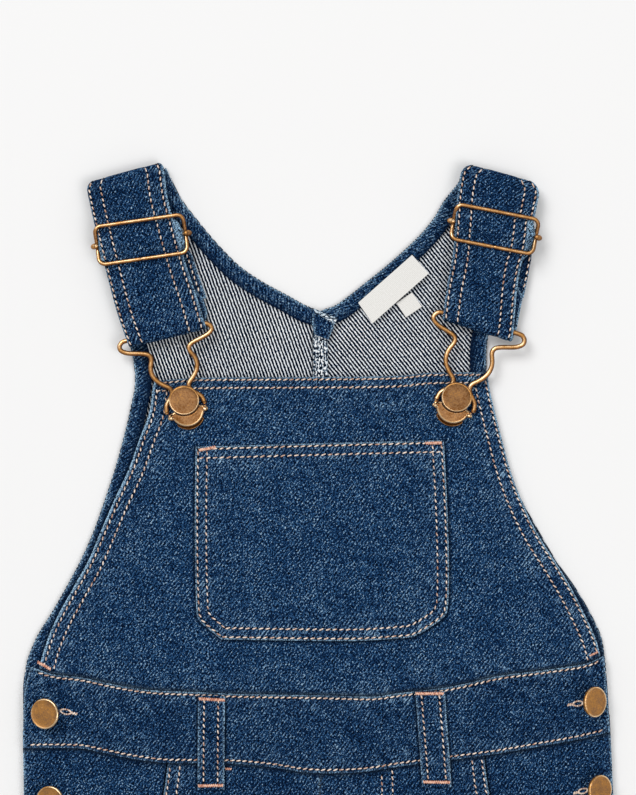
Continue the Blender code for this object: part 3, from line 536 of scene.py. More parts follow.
def uneven(x, y, seed):
    """Slight waviness of washed cloth, from 0 to 1: nine sine waves of random direction and length."""
    pick = np.random.default_rng(seed)
    total = np.zeros(np.shape(x))
    for length in pick.uniform(11, 46, 9):
        angle, phase = pick.uniform(0, 2 * math.pi, 2)
        total += np.sin((x * math.cos(angle) + y * math.sin(angle)) * 2 * math.pi / length + phase)
    return 0.5 + total / 18


print("groove of a row:", GROOVE, "mm deep,", GROOVE_WIDTH, "mm wide")

# %% Meshes and walls


def add_mesh(name, points, faces, finishes, indices=None, **attributes):
    """A smooth mesh in place, with its finishes and per-point attributes. Points are in millimetres."""
    mesh = bpy.data.meshes.new(name)
    mesh.from_pydata(place(points).tolist(), [], [list(map(int, face)) for face in faces])
    for finish in finishes:
        mesh.materials.append(finish)
    if indices is not None:
        mesh.polygons.foreach_set("material_index", np.asarray(indices, np.int32))
    mesh.shade_smooth()
    for key, values in attributes.items():
        values = np.asarray(values, np.float32)
        flat = values.ndim == 1
        made = mesh.attributes.new(key, "FLOAT" if flat else "FLOAT_VECTOR", "POINT")
        made.data.foreach_set("value" if flat else "vector", values.ravel())
    piece = bpy.data.objects.new(name, mesh)
    bpy.context.scene.collection.objects.link(piece)
    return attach(piece, "root")


def shell(name, upper, lower, finishes, **marks):
    """Closes two grids of points that share their rim into one wall, with a finish above and one below."""
    rows, columns = upper.shape[:2]
    number = np.arange(rows * columns).reshape(rows, columns)
    below = number.copy()
    below[1:-1, 1:-1] = rows * columns + np.arange((rows - 2) * (columns - 2)).reshape(rows - 2, columns - 2)
    sheets = []
    for grid in (number, below):
        corners = (grid[:-1, :-1], grid[:-1, 1:], grid[1:, 1:], grid[1:, :-1])
        sheets.append(np.stack(corners, axis=2).reshape(-1, 4))
    edge_a, edge_b = upper[1:, :-1] - upper[:-1, :-1], upper[:-1, 1:] - upper[:-1, :-1]
    area = edge_b[..., 0] * edge_a[..., 1] - edge_b[..., 1] * edge_a[..., 0]
    way = -1 if area.sum() > 0 else 1
    faces = np.concatenate([sheets[0][:, :: -way], sheets[1][:, ::way]])
    inner = (slice(1, -1), slice(1, -1))

    def both(grid):
        return np.concatenate([grid.reshape(rows * columns, -1), grid[inner].reshape(-1, grid.shape[-1])])

    points = np.concatenate([upper.reshape(-1, 3), lower[inner].reshape(-1, 3)])
    side = np.repeat([0, 1], len(sheets[0]))
    marks = {key: both(values) for key, values in marks.items()}
    return add_mesh(name, points, faces, finishes, side, **marks), float(np.abs(area).sum())


def swell(away, thickness):
    """Share of the full thickness near an edge, so that the edge is a half circle."""
    return np.sqrt(1 - np.clip(1 - away / (thickness / 2), 0, 1) ** 2)


print("share of the wall 0.1, 0.3 and 0.5 mm from an edge:", swell(np.array([0.1, 0.3, 0.5]), WALL).round(2))

# %% A cut piece of cloth
PIECES, AREAS, FACES = {}, {}, {}
# Finish of the upper side and of the lower side.
SIDES_OF = {
    "outside": ("face", "inside"), "body": ("body", "inside"), "inside": ("inside", "face"),
    "felled": ("felled", "inside"),
}
# How many rows of a grid lie near its rim, where the edge rolls.
RIM_ROWS = 8


def cloth(
    node, grid, level, seams=(), shadow_edges=(), grain=0.0, shows="outside", thickness=WALL, wavy=0.16,
    in_frame=True,
):
    """One cut piece: underside at its level, face = level + thickness - sewing - waviness, edges rolled."""
    x, y = grid
    seed = sum(map(ord, node))

    def face(at_x, at_y):
        depth, *marks = sewing(at_x, at_y, seams)
        depth = np.minimum(depth + wavy * uneven(at_x, at_y, seed), thickness - LEAST_WALL)
        return level(at_x, at_y) + thickness - depth, *marks

    rim = np.stack([x, y], axis=2)
    rim = np.concatenate([rim[0], rim[1:, -1], rim[-1, -2::-1], rim[-2::-1, 0]])
    near = np.ones(x.shape, bool)
    near[RIM_ROWS:-RIM_ROWS, RIM_ROWS:-RIM_ROWS] = False
    away = np.full(x.shape, FAR)
    away[near] = nearest(x[near], y[near], rim)[0]
    full = swell(away, thickness)
    top, from_seam, strength, rows = face(x, y)
    # Painted shadow: the distance to each edge that lies on top, as a share of how far its shadow reaches.
    shades = [nearest(x, y, line)[0] / reach for line, reach in shadow_edges]
    shadow_distance = np.min([np.full(x.shape, FAR), *shades], axis=0)
    middle = level(x, y) + thickness / 2
    upper = np.stack([x, y, middle + (top - middle) * full], axis=2)
    lower = np.stack([x, y, middle - thickness / 2 * full], axis=2)
    cos, sin = cos_sin(grain)
    weave = np.stack([x * cos + y * sin + 40 * seed % 997, y * cos - x * sin, 0 * x], axis=2)
    finishes = [FINISH[kind] for kind in SIDES_OF[shows]]
    seam_marks = np.stack([from_seam, strength, shadow_distance], axis=2)
    piece, area = shell(f"{node}_cloth", upper, lower, finishes, weave=weave, seam=seam_marks, rows=rows)
    if in_frame:
        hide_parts(node)
    PIECES[node], AREAS[node], FACES[node] = piece, area * MM**2, lambda at_x, at_y: face(at_x, at_y)[0]
    print(f"{node}: {area / 100:.0f} cm2, {len(piece.data.polygons)} faces")
    return piece


def on_level(height):
    """A level that is the same everywhere."""
    return lambda x, y: height + 0 * x


def on_front(height):
    """A level that follows the folds of the front, the given height above it."""
    return lambda x, y: front_height(x, y) + height


print("ways to lay a piece:", list(SIDES_OF))

# %% [markdown]
# ## Outlines of the pieces on top
#
# The bib, pocket, waistband and belt loops are cut from paper patterns, so their outlines come first.
# The cloth beside each of these edges gets a painted shadow, and every panel below asks for them.

# %% Outlines
# Columns: height, left edge, right edge.
BIB_SECTIONS = (
    (184, -72.6, 79.0), (178, -74.9, 79.6), (166, -76.6, 82.3), (153, -81.4, 85.6), (139, -86.4, 89.4),
    (125, -93.0, 94.6), (110, -99.4, 101.8), (97, -105.0, 110.0), (84, -112.2, 117.8), (72, -118.8, 123.9),
    (60, -124.0, 129.2), (44, -128.4, 132.6), (24, -131.6, 134.0),
)
# Columns: x, height.
BIB_TOP = ((-72, 180), (-54, 181.3), (-8, 181.6), (38, 182.2), (54, 183.7), (79, 183.8))
BAND_TOP = (
    (-130.4, 48.2), (-122, 45.1), (-108.6, 43.5), (-90, 39.6), (-76, 37.6), (-58, 36.8), (-37, 35.9),
    (2, 35.2), (25, 34.6), (38.6, 36.3), (61.6, 39.1), (84.6, 44.2), (98.4, 46), (112, 47.8),
    (126, 50.4), (132.6, 53.6),
)
BAND_BOTTOM = (
    (-134.8, 10.8), (-122, 11.0), (-108.6, 10.8), (-99.4, 9), (-85.6, 6.2), (-67, 4), (-54, 3.9),
    (-35, 3.5), (-16.6, 1.6), (-7.4, 0), (6.4, -0.7), (24.8, 0.3), (38.6, 2.5), (63, 5.6),
    (84.6, 8.5), (103, 11.7), (121.4, 15), (135.6, 18.4),
)
BAND_OVERLAP = 8.0
band_upper, band_lower = column(BAND_TOP, 1), column(BAND_BOTTOM, 1)
bib_left, bib_right, bib_top = column(BIB_SECTIONS, 1), column(BIB_SECTIONS, 2), column(BIB_TOP, 1)
EDGE_OF = {
    "bib top": level_edge(bib_top, -74.2, 79.1),
    "bib left": upright(bib_left, 30, 180.0),
    "bib right": upright(bib_right, 30, 183.8),
    "band top": level_edge(band_upper, BAND_TOP[0][0], BAND_TOP[-1][0], 90),
    "band bottom": level_edge(band_lower, BAND_BOTTOM[0][0], BAND_BOTTOM[-1][0], 90),
}
# Columns: two rows of stitches from the edge, wear of the edge, how far the puckers reach.
BIB_EDGES = {
    "bib top": (1.1, 4.8, 0.7, 7.5), "bib left": (2.1, 6.7, 3.5, 5.0), "bib right": (1.3, 6.2, 2.4, 5.0),
}
# Outline from its top left corner round by the left. Columns: x, height.
PATCH_POCKET = (
    (-55.4, 149.6), (-55.8, 120), (-54.9, 72.2), (-43.8, 60.9), (15.6, 60.2), (44.0, 61.8),
    (50.6, 65.2), (60.4, 74.0), (61.2, 92), (60.6, 118), (58.8, 152.6),
)
PATCH_TOP = (2, 151.2)
patch_left = column([(height, x) for x, height in PATCH_POCKET[:4]], 1)
patch_right = column([(height, x) for x, height in PATCH_POCKET[5:]], 1)
patch_bottom = column(PATCH_POCKET[3:6], 1)
patch_top = column((PATCH_POCKET[0], PATCH_TOP, PATCH_POCKET[-1]), 1)
patch_grid = between(patch_left, patch_right, patch_bottom, patch_top, shares(116, 1.2), shares(90, 1.2))
PATCH_ROWS = (1.15, 5.3)
patch_lines = {
    "patch mouth": [axis[-1] for axis in patch_grid],
    "patch round": [np.concatenate([axis[::-1, 0], axis[0, 1:], axis[1:, -1]]) for axis in patch_grid],
}
EDGE_OF.update({name: walked(np.column_stack(axes), 1.5) for name, axes in patch_lines.items()})
# Columns: name, x at the bottom, bottom, x at the top, top, width, stitch rows from its left edge.
BELT_LOOPS = (
    ("left", -48.4, -8.3, -48.0, 35.2, 12.4, (2.8, 9.3)), ("right", 55.6, -7.0, 52.4, 37.2, 13.6, (2.8, 11.0)),
)
LOOP_SIDES = {
    name: [np.array([(low_x + way * width / 2, low), (high_x + way * width / 2, high)]) for way in (-1, 1)]
    for name, low_x, low, high_x, high, width, _ in BELT_LOOPS
}
loop_lines = [line for pair in LOOP_SIDES.values() for line in pair]
print("outlines:", sorted(EDGE_OF))

# %% [markdown]
# ## The back
#
# The upper back is two halves joined by a flat-felled seam. Its outside lies on the table, so the
# white weft side shows. The halves were cut with the grain tilted, which turns the wales of the two
# sides different ways. The neck and armhole edges are turned over, and there the blue face shows. At
# the top of the seam the two ends of the neck's turned edge are folded over each other.

# %% Upper back
# Columns: height, left armhole, left neck edge, right neck edge, right armhole.
BACK_SECTIONS = (
    (279, -104.5, -69.2, 70.0, 100.2), (271, -103.6, -65.7, 65.2, 99.6), (263, -102.5, -61.4, 58.9, 99.2),
    (255, -101.1, -55.3, 54.2, 98.0), (248, -99.4, -49.6, 48.5, 96.1), (240, -97.4, -42.4, 40.3, 92.9),
    (232, -95.4, -34.0, 31.1, 89.7), (225, -93.6, -23.4, 22.4, 86.9), (219, -92.0, -12.2, 14.8, 84.6),
    (214.4, -90.8, -3.9, 8.0, 83.0), (212, -90.1, 1.8, 1.8, 82.3), (203, -87.6, 1.8, 1.8, 80.1),
    (193, -85.1, 1.8, 1.8, 78.7), (180, -83.6, 1.8, 1.8, 78.8), (166, -86.0, 1.8, 1.8, 80.5),
    (153, -89.1, 1.8, 1.8, 83.3), (139, -93.0, 1.8, 1.8, 86.8), (125, -97.6, 1.8, 1.8, 94.8),
    (110, -103.0, 1.8, 1.8, 103.2), (97, -108.8, 1.8, 1.8, 110.9), (84, -115.8, 1.8, 1.8, 120.1),
    (72, -122.7, 1.8, 1.8, 127.1), (62, -128.9, 1.8, 1.8, 131.6), (51, -133.5, 1.8, 1.8, 133.5),
)
ARMHOLE = {"left": column(BACK_SECTIONS, 1), "right": column(BACK_SECTIONS, 4)}
NECK = {"left": column(BACK_SECTIONS, 2), "right": column(BACK_SECTIONS, 3)}
# Heights of the neck's point, of the top of the sides, and of the back waistband's lower and upper edge.
NECK_POINT, SIDE_TOP, BAND_LOW, BAND_HIGH = 212.0, 51.0, 10.0, 44.0
# Heights of the shoulder ends: at the armhole, at the neck.
SHOULDERS = {"left": (268.4, 278.1), "right": (267.9, 277.8)}
# Where a hem ends and starts from its edge, and the width of the felled seam.
HEM_WIDTH, HEM_SETBACK, BACK_SEAM = 7.8, 0.3, 7.2
# Button stand: height of its top, and where it ends and starts from the side.
STAND_TOP, STAND_WIDTH, STAND_SETBACK = 47.5, 28.0, 0.5
BACK_GRAIN = {"left": -10.0, "right": 9.0}
# How far the bib's painted shadow darkens the hem beside it, and where each half ends at the middle.
BIB_SHADE = {"left": 2.4, "right": 4.5}
MIDDLE_EDGE = {side: CENTRE + sign * GAP / 2 for side, sign in SIGN.items()}
neck_corners = []
for side, sign in SIGN.items():
    armhole_top, neck_top = SHOULDERS[side]
    middle = MIDDLE_EDGE[side]
    ends = np.array([(ARMHOLE[side](armhole_top), armhole_top), (NECK[side](neck_top), neck_top)])
    slope = (ends[1, 1] - ends[0, 1]) / (ends[1, 0] - ends[0, 0])
    edges = (
        lambda y: np.where(y > SIDE_TOP, ARMHOLE[side](y), SIDE[side](y)),
        lambda y: np.where(y > NECK_POINT, NECK[side](y), middle),
        straight(BAND_HIGH + GAP),
        lambda x: ends[0, 1] + slope * (x - ends[0, 0]),
    )
    grid = between(*edges, shares(95, 1.7), shares(225, 1.7))
    cloth(f"back_{side}", grid, on_level(BACK), grain=BACK_GRAIN[side], shows="inside", wavy=0.3)

    armhole = upright(edges[0], STAND_TOP + GAP, armhole_top, 120)
    outer, inner = beside(armhole, sign * HEM_SETBACK), beside(armhole, sign * HEM_WIDTH)
    grid = ruled(outer, inner, shares(225, 1.2), shares(7.5, 0.8))
    fold = seam(outer, pucker=0.5, worn=0.8, reach=5.0)
    # The hem gets painted shade that deepens towards its inner edge, and the bib's painted shadow beside it.
    shades = [(inner, 5.0), (EDGE_OF[f"bib {side}"], BIB_SHADE[side])]
    cloth(f"armhole_hem_{side}", grid, on_level(HEMS), [fold], shades, grain=20 * sign, shows="body")

    neck = upright(NECK[side], neck_top, NECK_POINT + 0.4, 120)
    neck[-1, 0] = middle
    outer, inner = beside(neck, sign * HEM_SETBACK), beside(neck, sign * HEM_WIDTH)
    inner = inner[sign * (inner[:, 0] - middle) > GAP]
    lean = (inner[-1, 1] - inner[-6, 1]) / (inner[-1, 0] - inner[-6, 0])
    inner = np.vstack([inner, (middle, inner[-1, 1] + lean * (middle - inner[-1, 0]))])
    outer[-1, 0] = middle
    neck_corners.append(inner[-1, 1])
    grid = ruled(outer, inner, shares(100, 1.2), shares(7.5, 0.8))
    fold = seam(outer, rows=(5.5,), pucker=0.36, worn=0.7, reach=1.3)
    # Painted shade darkens the neck hem towards its inner edge.
    cloth(f"neck_hem_{side}", grid, on_level(HEMS), [fold], [(inner, 2.6)], grain=-35 * sign, shows="body")
print("neck corner:", neck_corners)

# %% Back seam, waistband and legs
seam_top, seam_foot = min(neck_corners) - 1.0, 40.0
across = [CENTRE - BACK_SEAM / 2, CENTRE + BACK_SEAM / 2]
sides = [np.array([(x, BAND_HIGH + GAP), (x, seam_top)]) for x in across]
grid = ruled(*sides, shares(150, 1.2), shares(7.2, 0.8))
middle_line, *edge_lines = (np.array([(x, seam_foot), (x, seam_top)]) for x in (CENTRE, *across))
felled = [seam(middle_line, rows=(2.3,), pucker=0.5, worn=0.0, reach=3.0)]
felled += [seam(line, pucker=0.2, worn=0.3, reach=1.5) for line in edge_lines]
# A painted shadow darkens the felled seam beside its left edge.
cloth("back_seam", grid, on_level(HEMS), felled, [(edge_lines[0], 1.1)], shows="felled", grain=-30)
# Two edges of each folded end of the neck band. Columns: x, height.
BAND_ENDS_AT_SEAM = {
    "neck_tab": (((-1.6, 211.0), (-1.9, 206.0), (-0.9, 201.4)), ((8.8, 209.0), (7.8, 203.6), (5.6, 198.8))),
    "neck_fold": (((-1.2, 213.0), (4.6, 210.8), (9.8, 208.6)), ((-0.4, 211.6), (4.6, 208.2), (8.8, 205.8))),
}
for (name, edges), level, shows in zip(BAND_ENDS_AT_SEAM.items(), (FRONT, ON_FRONT), ("body", "felled")):
    edges = [walked(edge, 0.8) for edge in edges]
    grid = ruled(*edges, shares(10, 0.7), shares(6, 0.6))
    folded = [seam(edge, pucker=0.5, worn=0.7, reach=2.0) for edge in edges]
    cloth(name, grid, on_level(level), folded, grain=50, shows=shows, wavy=0.4, in_frame=False)

# Row of stitches of the leg hems, from the edge.
HEM_ROWS = (13.0,)


def inner_edge(side):
    """Inner edge of a leg: beside the middle down to the crotch, then along the inseam."""
    sign = SIGN[side]
    return lambda y: sign * np.maximum(sign * INSEAM[side](y), sign * MIDDLE_EDGE[side])


sides, levels = (SIDE["left"], SIDE["right"]), (straight(BAND_LOW), straight(BAND_HIGH))
grid = between(*sides, *levels, shares(269, 3), shares(34, 3))
cloth("back_waistband", grid, on_level(BACK))
hem_line = level_edge(straight(HEM), -140, 140)
for side in SIGN:
    edges = (SIDE[side], inner_edge(side), straight(HEM), straight(BAND_LOW - GAP))
    grid = between(*edges, shares(130, 3.2), shares(368, 3.2))
    cloth(f"back_leg_{side}", grid, on_level(BACK), [seam(hem_line, rows=HEM_ROWS, hem=14.5, worn=0.8)])

# %% Button stands
for side, sign in SIGN.items():
    grid = between(
        lambda y: SIDE[side](y) - sign * STAND_SETBACK, lambda y: SIDE[side](y) - sign * STAND_WIDTH,
        straight(STAND_END), straight(STAND_TOP), shares(27.5, 2.2), shares(135, 2.2),
    )
    edge = upright(SIDE[side], STAND_END, STAND_TOP)
    cloth(f"button_stand_{side}", grid, on_level(HEMS), [seam(edge, rows=(2.0,), hem=26.0, worn=0.8)])

# %% [markdown]
# ## The bib and its pocket
#
# The bib's sides and top are turned in and sewn with two rows. The patch pocket is a square of the
# same denim with a hemmed mouth and cut-off lower corners. Both follow the folds of the front.

# %% Bib and patch pocket
bib_foot = lambda x: band_upper(x) - BAND_OVERLAP
grid = between(bib_left, bib_right, bib_foot, bib_top, shares(190, 1.25), shares(150, 1.25))
bib_seams = [
    seam(EDGE_OF[name], (first, second), second + 0.9, edge=edge, reach=reach)
    for name, (first, second, edge, reach) in BIB_EDGES.items()
]
bib_seams.append(seam(EDGE_OF["band top"], worn=0.9, pucker=0.36))
# Painted shadows darken the bib beside the pocket's edge and above the waistband.
cloth("bib", grid, on_front(0.0), bib_seams, [(EDGE_OF["patch round"], 2.2), (EDGE_OF["band top"], 2.8)])

patch_seams = [seam(EDGE_OF[name], PATCH_ROWS, PATCH_ROWS[1] + 0.8, pucker=0.34) for name in patch_lines]
cloth("bib_pocket", patch_grid, on_front(LAYER), patch_seams)

# %% [markdown]
# ## Waistband, legs and belt loops
#
# The waistband lies over the lower edge of the bib and the tops of the legs, and one row of stitches
# runs along each of its edges. Each front leg ends at a slanted pocket mouth, with the hip piece
# behind it, and the seam of a mock fly is sewn beside the centre front.

# %% Waistband
# Columns: height, left end, right end.
BAND_ENDS = (
    (10, -134.8, 135.9), (24, -134.7, 134.8), (36, -134.2, 133.9), (43, -132.8, 133.4), (54, -129.6, 132.5),
)
# Columns: row of stitches from the edge, wear of the edge.
BAND_ROWS = {"band top": (1.3, 0.85), "band bottom": (1.6, 0.2)}
band_left, band_right = column(BAND_ENDS, 1), column(BAND_ENDS, 2)
grid = between(band_left, band_right, band_lower, band_upper, shares(268, 1.25), shares(35, 1.2))
band_seams = [
    seam(EDGE_OF[name], (row,), pucker=0.36, worn=1.1, reach=6.0, edge=edge)
    for name, (row, edge) in BAND_ROWS.items()
]
band_seams += [seam(upright(end, 10, 54), pucker=0.1, worn=0.7) for end in (band_left, band_right)]
# Painted shadow of the belt loops on the waistband.
loop_shadows = [(line, 1.6) for line in loop_lines]
cloth("front_waistband", grid, on_front(LAYER), band_seams, loop_shadows, shows="body")

# %% Front legs and hip pieces
# Columns: height, left mouth, right mouth.
POCKET_MOUTHS = (
    (22, -66.5, 76.4), (4, -68.3, 77.8), (-11, -70.4, 80.0), (-35, -77.0, 87.6), (-60, -91.0, 101.0),
    (-78, -111.0, 120.0), (-88, -131.0, 136.0), (-91, -139.8, 141.8),
)
# Heights where a pocket mouth ends and where the hip piece ends and starts, and the rows of the mouth.
MOUTH_END, HIP_END, HIP_TOP, MOUTH_ROWS = -91.0, -85.0, 12.0, (1.3, 5.8)
MOUTH = {"left": column(POCKET_MOUTHS, 1), "right": column(POCKET_MOUTHS, 2)}
bottom, top = straight(HEM), (lambda x: band_lower(x) + BAND_OVERLAP)
# Rows of the grid, with more of them where the mouth of the pocket ends.
leg_rows = np.unique(np.concatenate([shares(366, 1.9), (np.linspace(-94, -84, 14) - HEM) / 366]))
hip_rows = (np.linspace(HIP_END, HIP_TOP, 60) - HEM) / (HIP_TOP - HEM)
# Painted shadows beside the waistband's lower edge and the belt loops; the hip pieces also get one beside the
# pocket mouth.
under = [(EDGE_OF["band bottom"], 3.2), *((line, 2.0) for line in loop_lines)]
under_band = seam(EDGE_OF["band bottom"], pucker=0.3, worn=0.3)
for side, sign in SIGN.items():
    outer = lambda y: np.where(y > MOUTH_END, MOUTH[side](y), SIDE[side](y))

    def hip_edge(y):
        slope = MOUTH[side](y + 0.5) - MOUTH[side](y - 0.5)
        return MOUTH[side](y) + sign * 2 * GAP * np.hypot(1, slope)

    mouth = EDGE_OF[f"mouth {side}"] = upright(MOUTH[side], -90.5, 10, 80)
    leg_hem = level_edge(straight(HEM), *sorted((sign * 22, sign * 130)))
    leg_seams = [
        seam(mouth, MOUTH_ROWS, 6.8, worn=0.9), under_band, seam(leg_hem, HEM_ROWS, 14.0, pucker=0.34),
        seam(upright(straight(MIDDLE_EDGE[side]), CROTCH, 5), pucker=0.3, worn=0.3),
        seam(upright(SIDE[side], HEM, MOUTH_END), pucker=0.2, worn=0.5, reach=4.0),
        seam(upright(INSEAM[side], HEM, CROTCH), pucker=0.3, worn=0.5, reach=4.0),
    ]
    grid = between(outer, inner_edge(side), bottom, top, shares(105, 1.9), leg_rows)
    cloth(f"front_leg_{side}", grid, on_front(0.0), leg_seams, under, shows="body")
    grid = between(SIDE[side], hip_edge, bottom, top, shares(60, 1.9), hip_rows)
    hip_seams = [seam(upright(SIDE[side], -86, 18), worn=0.8), under_band]
    cloth(f"hip_piece_{side}", grid, on_front(0.0), hip_seams, [*under, (mouth, 2.4)], shows="body")

# %% Belt loops
# How far a loop stands off, and where and over what length it climbs onto the waistband.
LOOP_PUFF, CLIMB_START, CLIMB = 0.8, 3.2, 2.6
LOOP_ROWS = {}
for name, low_x, low, high_x, high, width, rows in BELT_LOOPS:
    waist = float(band_lower((low_x + high_x) / 2))

    def loop_level(x, y, waist=waist, high=high):
        step = smoothstep((y - waist + CLIMB_START) / CLIMB)
        puff = LOOP_PUFF * np.sin(math.pi * np.clip((y - waist) / (high - waist), 0, 1))
        return front_height(x, y) + LAYER * (1 + step) + puff

    sides = LOOP_SIDES[name]
    grid = ruled(*sides, shares(high - low, 0.9), shares(width, 0.8))
    LOOP_ROWS[name] = [sides[0] + (row, 0) for row in rows]
    loop_seams = [
        seam(line, (row,), pucker=0.2, reach=1.5, edge=edge)
        for line, row, edge in zip(sides, (rows[0], width - rows[1]), (0.45, 0.9))
    ]
    cloth(f"belt_loop_{name}", grid, loop_level, loop_seams, shows="body", wavy=0.1)

# %% [markdown]
# ## Shoulder straps
#
# Each strap is one folded ribbon. It comes over the shoulder from the back, runs through the slider,
# round the clip, back up and round the slider's middle bar. Seen from its edge it is a path, and the
# ribbon is that path widened between the measured left and right edges. The face is the path moved
# outwards by half the thickness, less what the stitches pull in.

# %% Strap tables
# Columns: share of the run, left x, left height, right x, right height.
STRAP_SECTIONS = {
    "left": (
        (0.0, -106.0, 271.4, -70.4, 281.1), (0.2, -102.8, 256.2, -68.4, 265.4),
        (0.4, -99.0, 240.8, -64.3, 249.8), (0.6, -95.2, 225.4, -59.9, 234.1),
        (0.8, -91.0, 210.0, -54.7, 218.5), (1.0, -85.6, 194.9, -50.2, 203.6),
    ),
    "right": (
        (0.0, 67.6, 280.8, 103.4, 270.9), (0.2, 65.1, 266.9, 100.3, 257.0), (0.4, 63.9, 252.0, 98.6, 242.1),
        (0.6, 62.8, 237.2, 95.9, 227.1), (0.8, 59.9, 222.3, 92.9, 212.2), (1.0, 58.0, 207.5, 90.4, 197.3),
    ),
}
# Radii of the left and the right corner at the shoulder fold.
STRAP_CORNERS = {"left": (4.8, 3.6), "right": (6.4, 7.5)}
# Columns: run, slider from the fold, turn of the slider along the run, tab end.
STRAP_FITTINGS = {"left": (79.4, 32.8, 4.4, 65.0), "right": (74.4, 26.0, -3.0, 53.4)}
# Columns: centre x, centre height, turn in degrees, half length, half width.
SLIDERS = {"left": (-80.2, 244.6, 8.2, 20.5, 8.8), "right": (82.0, 249.4, -11.0, 19.2, 8.1)}
# Stitch rows from the left edge and from the right edge.
STRAP_ROWS = {"left": ((1.0, 6.3), (2.0, 7.8)), "right": ((1.5, 7.0), (1.6, 6.8))}
# How far the tab and the returning layer lie to the right, how far the front layer is drawn in beside the tab.
STRAP_SHIFTS = {"left": (3.9, 2.4, 0.0), "right": (1.5, 1.0, 2.8)}
# How far each edge spreads inside the slider, and the row of stitches on the tab from its right edge.
STRAP_FLARE, TAB_ROW = {"left": (0.8, 2.4), "right": (0.1, 2.5)}, {"left": 2.3, "right": 0.9}
# Length under the shoulder fold, inner radius of the fold, and radius and height of the loop round the clip.
STRAP_UNDERLAP, STRAP_FOLD, STRAP_LOOP, STRAP_LOOP_HEIGHT = 14.0, 1.75, 2.5, 6.1
# Radii of the frame's wire, the bar's wire and a corner, height and bow of the frame, and radii of the
# strap's turn round the bar and of the bar's hooked ends.
SLIDER_WIRE, SLIDER_BAR_WIRE, SLIDER_CORNER, SLIDER_HEIGHT, SLIDER_BOW, SLIDER_LOOP, SLIDER_HOOK = (
    0.9, 0.8, 3.0, 9.9, 2.5, 2.0, 1.9,
)
# Heights of the middle of a strap's three layers: its end, the layer that comes back, the front.
TAB = FRONT + STRAP_WALL / 2
RETURN = TAB + STRAP_WALL + GAP
RUN = RETURN + STRAP_WALL + GAP
BAR_HEIGHT = TAB + SLIDER_LOOP
OVER_BAR = BAR_HEIGHT + SLIDER_LOOP + STRAP_WALL + GAP
UNDER_FRAME = SLIDER_HEIGHT - SLIDER_WIRE - GAP - 0.1 - STRAP_WALL / 2
# Columns: measured from, distance, height of the strap's middle line.
FRONT_RUN = (
    ("frame top", -2.5, UNDER_FRAME - 0.1), ("frame top", 2.6, UNDER_FRAME), ("bar", -3.2, OVER_BAR - 0.4),
    ("bar", -1.4, OVER_BAR), ("bar", 1.4, OVER_BAR), ("bar", 3.6, OVER_BAR - 0.5),
    ("frame bottom", -2.4, UNDER_FRAME), ("frame bottom", 2.0, UNDER_FRAME), ("frame bottom", 6.0, RUN),
    ("tab end", 0.0, RUN), ("clip", -8.0, RUN + 0.1),
    ("clip", -3.5, STRAP_LOOP_HEIGHT + STRAP_LOOP - 0.1),
)
RETURN_RUN = (
    ("clip", -4.0, STRAP_LOOP_HEIGHT - STRAP_LOOP + 0.1), ("tab end", 2.0, RETURN - 0.4),
    ("tab end", -2.5, RETURN), ("bar", 8.2, RETURN), ("bar", 4.4, RETURN + 0.9),
)
# Spacing of the path's points, and width of the bell that rounds its corners.
PATH_STEP, PATH_SOFTNESS = 0.4, 0.6
# Puckers along a strap: depth, slant, length of a wave, and how far they fade past the inner row.
STRAP_PUCKER, STRAP_SLANT, STRAP_WAVE, STRAP_FADE = 0.26, 0.4, 6.3, 3.5
print("layers of a strap at", round(TAB, 2), round(RETURN, 2), round(RUN, 2), "mm")

# %% The strap's path from its edge


def arc(centre, radius, start, end, count):
    """Points on an arc, angles in degrees."""
    angles = np.radians(np.linspace(start, end, count))
    return np.column_stack([centre[0] + radius * np.cos(angles), centre[1] + radius * np.sin(angles)])


def strap_path(side):
    """The strap from its edge, in even steps: distance from the fold, height, shift to the right, drawn in."""
    run, slider, _, tab_end = STRAP_FITTINGS[side]
    half_width, clip = SLIDERS[side][4], run - STRAP_LOOP - STRAP_WALL / 2
    start = {
        "frame top": slider - half_width, "bar": slider, "frame bottom": slider + half_width,
        "tab end": tab_end, "clip": clip,
    }
    fold = (STRAP_FOLD + STRAP_WALL / 2, TAB + STRAP_FOLD)
    front = [(STRAP_UNDERLAP, TAB), (STRAP_UNDERLAP / 2, TAB), *arc(fold, STRAP_FOLD, 270, 90, 17)]
    front += [(start[name] + distance, height) for name, distance, height in FRONT_RUN]
    front += list(arc((clip, STRAP_LOOP_HEIGHT), STRAP_LOOP, 90, -90, 17))
    back = [(start[name] + distance, height) for name, distance, height in RETURN_RUN]
    around = list(arc((slider, BAR_HEIGHT), SLIDER_LOOP, 70, 270, 19))
    tab = np.array([(slider + 6.0, TAB), (slider + 10.0, TAB), (tab_end, TAB)])
    tab_shift, back_shift, drawn_in = STRAP_SHIFTS[side]
    front, back = walked(front, 1.0), walked(back, 1.0)
    past = front[:, 0] - slider
    drawn = -0.18 + 0.86 * smoothstep((past + 8.5) / 3) + 0.32 * smoothstep((past - 8.5) / 6)
    drawn *= drawn_in * (1 - 0.75 * smoothstep((past - 18) / 26)) * (front[:, 1] > TAB + 1)
    beyond = smoothstep((back[:, 0] - tab_end + 5) / 5)
    shift = [0 * drawn, back_shift * beyond, np.zeros(len(around)), tab_shift * np.array([0.3, 1, 1])]
    narrowed = drawn_in * smoothstep((back[:, 0] - slider - 8.5) / 4) * (1 - beyond)
    drawn = [drawn, narrowed, np.zeros(len(around) + len(tab))]
    points = np.concatenate([front, back, around, tab])
    path = walked(np.column_stack([points, np.concatenate(shift), np.concatenate(drawn)]), PATH_STEP)
    reach = int(3 * PATH_SOFTNESS / PATH_STEP)
    bell = np.exp(-(((np.arange(-reach, reach + 1)) * PATH_STEP / PATH_SOFTNESS) ** 2))
    padded = np.concatenate([np.repeat(path[:1], reach, 0), path, np.repeat(path[-1:], reach, 0)])
    soft = np.column_stack([np.convolve(axis, bell / bell.sum(), "valid") for axis in padded.T])
    soft[[0, -1]] = path[[0, -1]]
    return soft


print("points along each strap:", [len(strap_path(side)) for side in SIGN])

# %% The strap as a surface


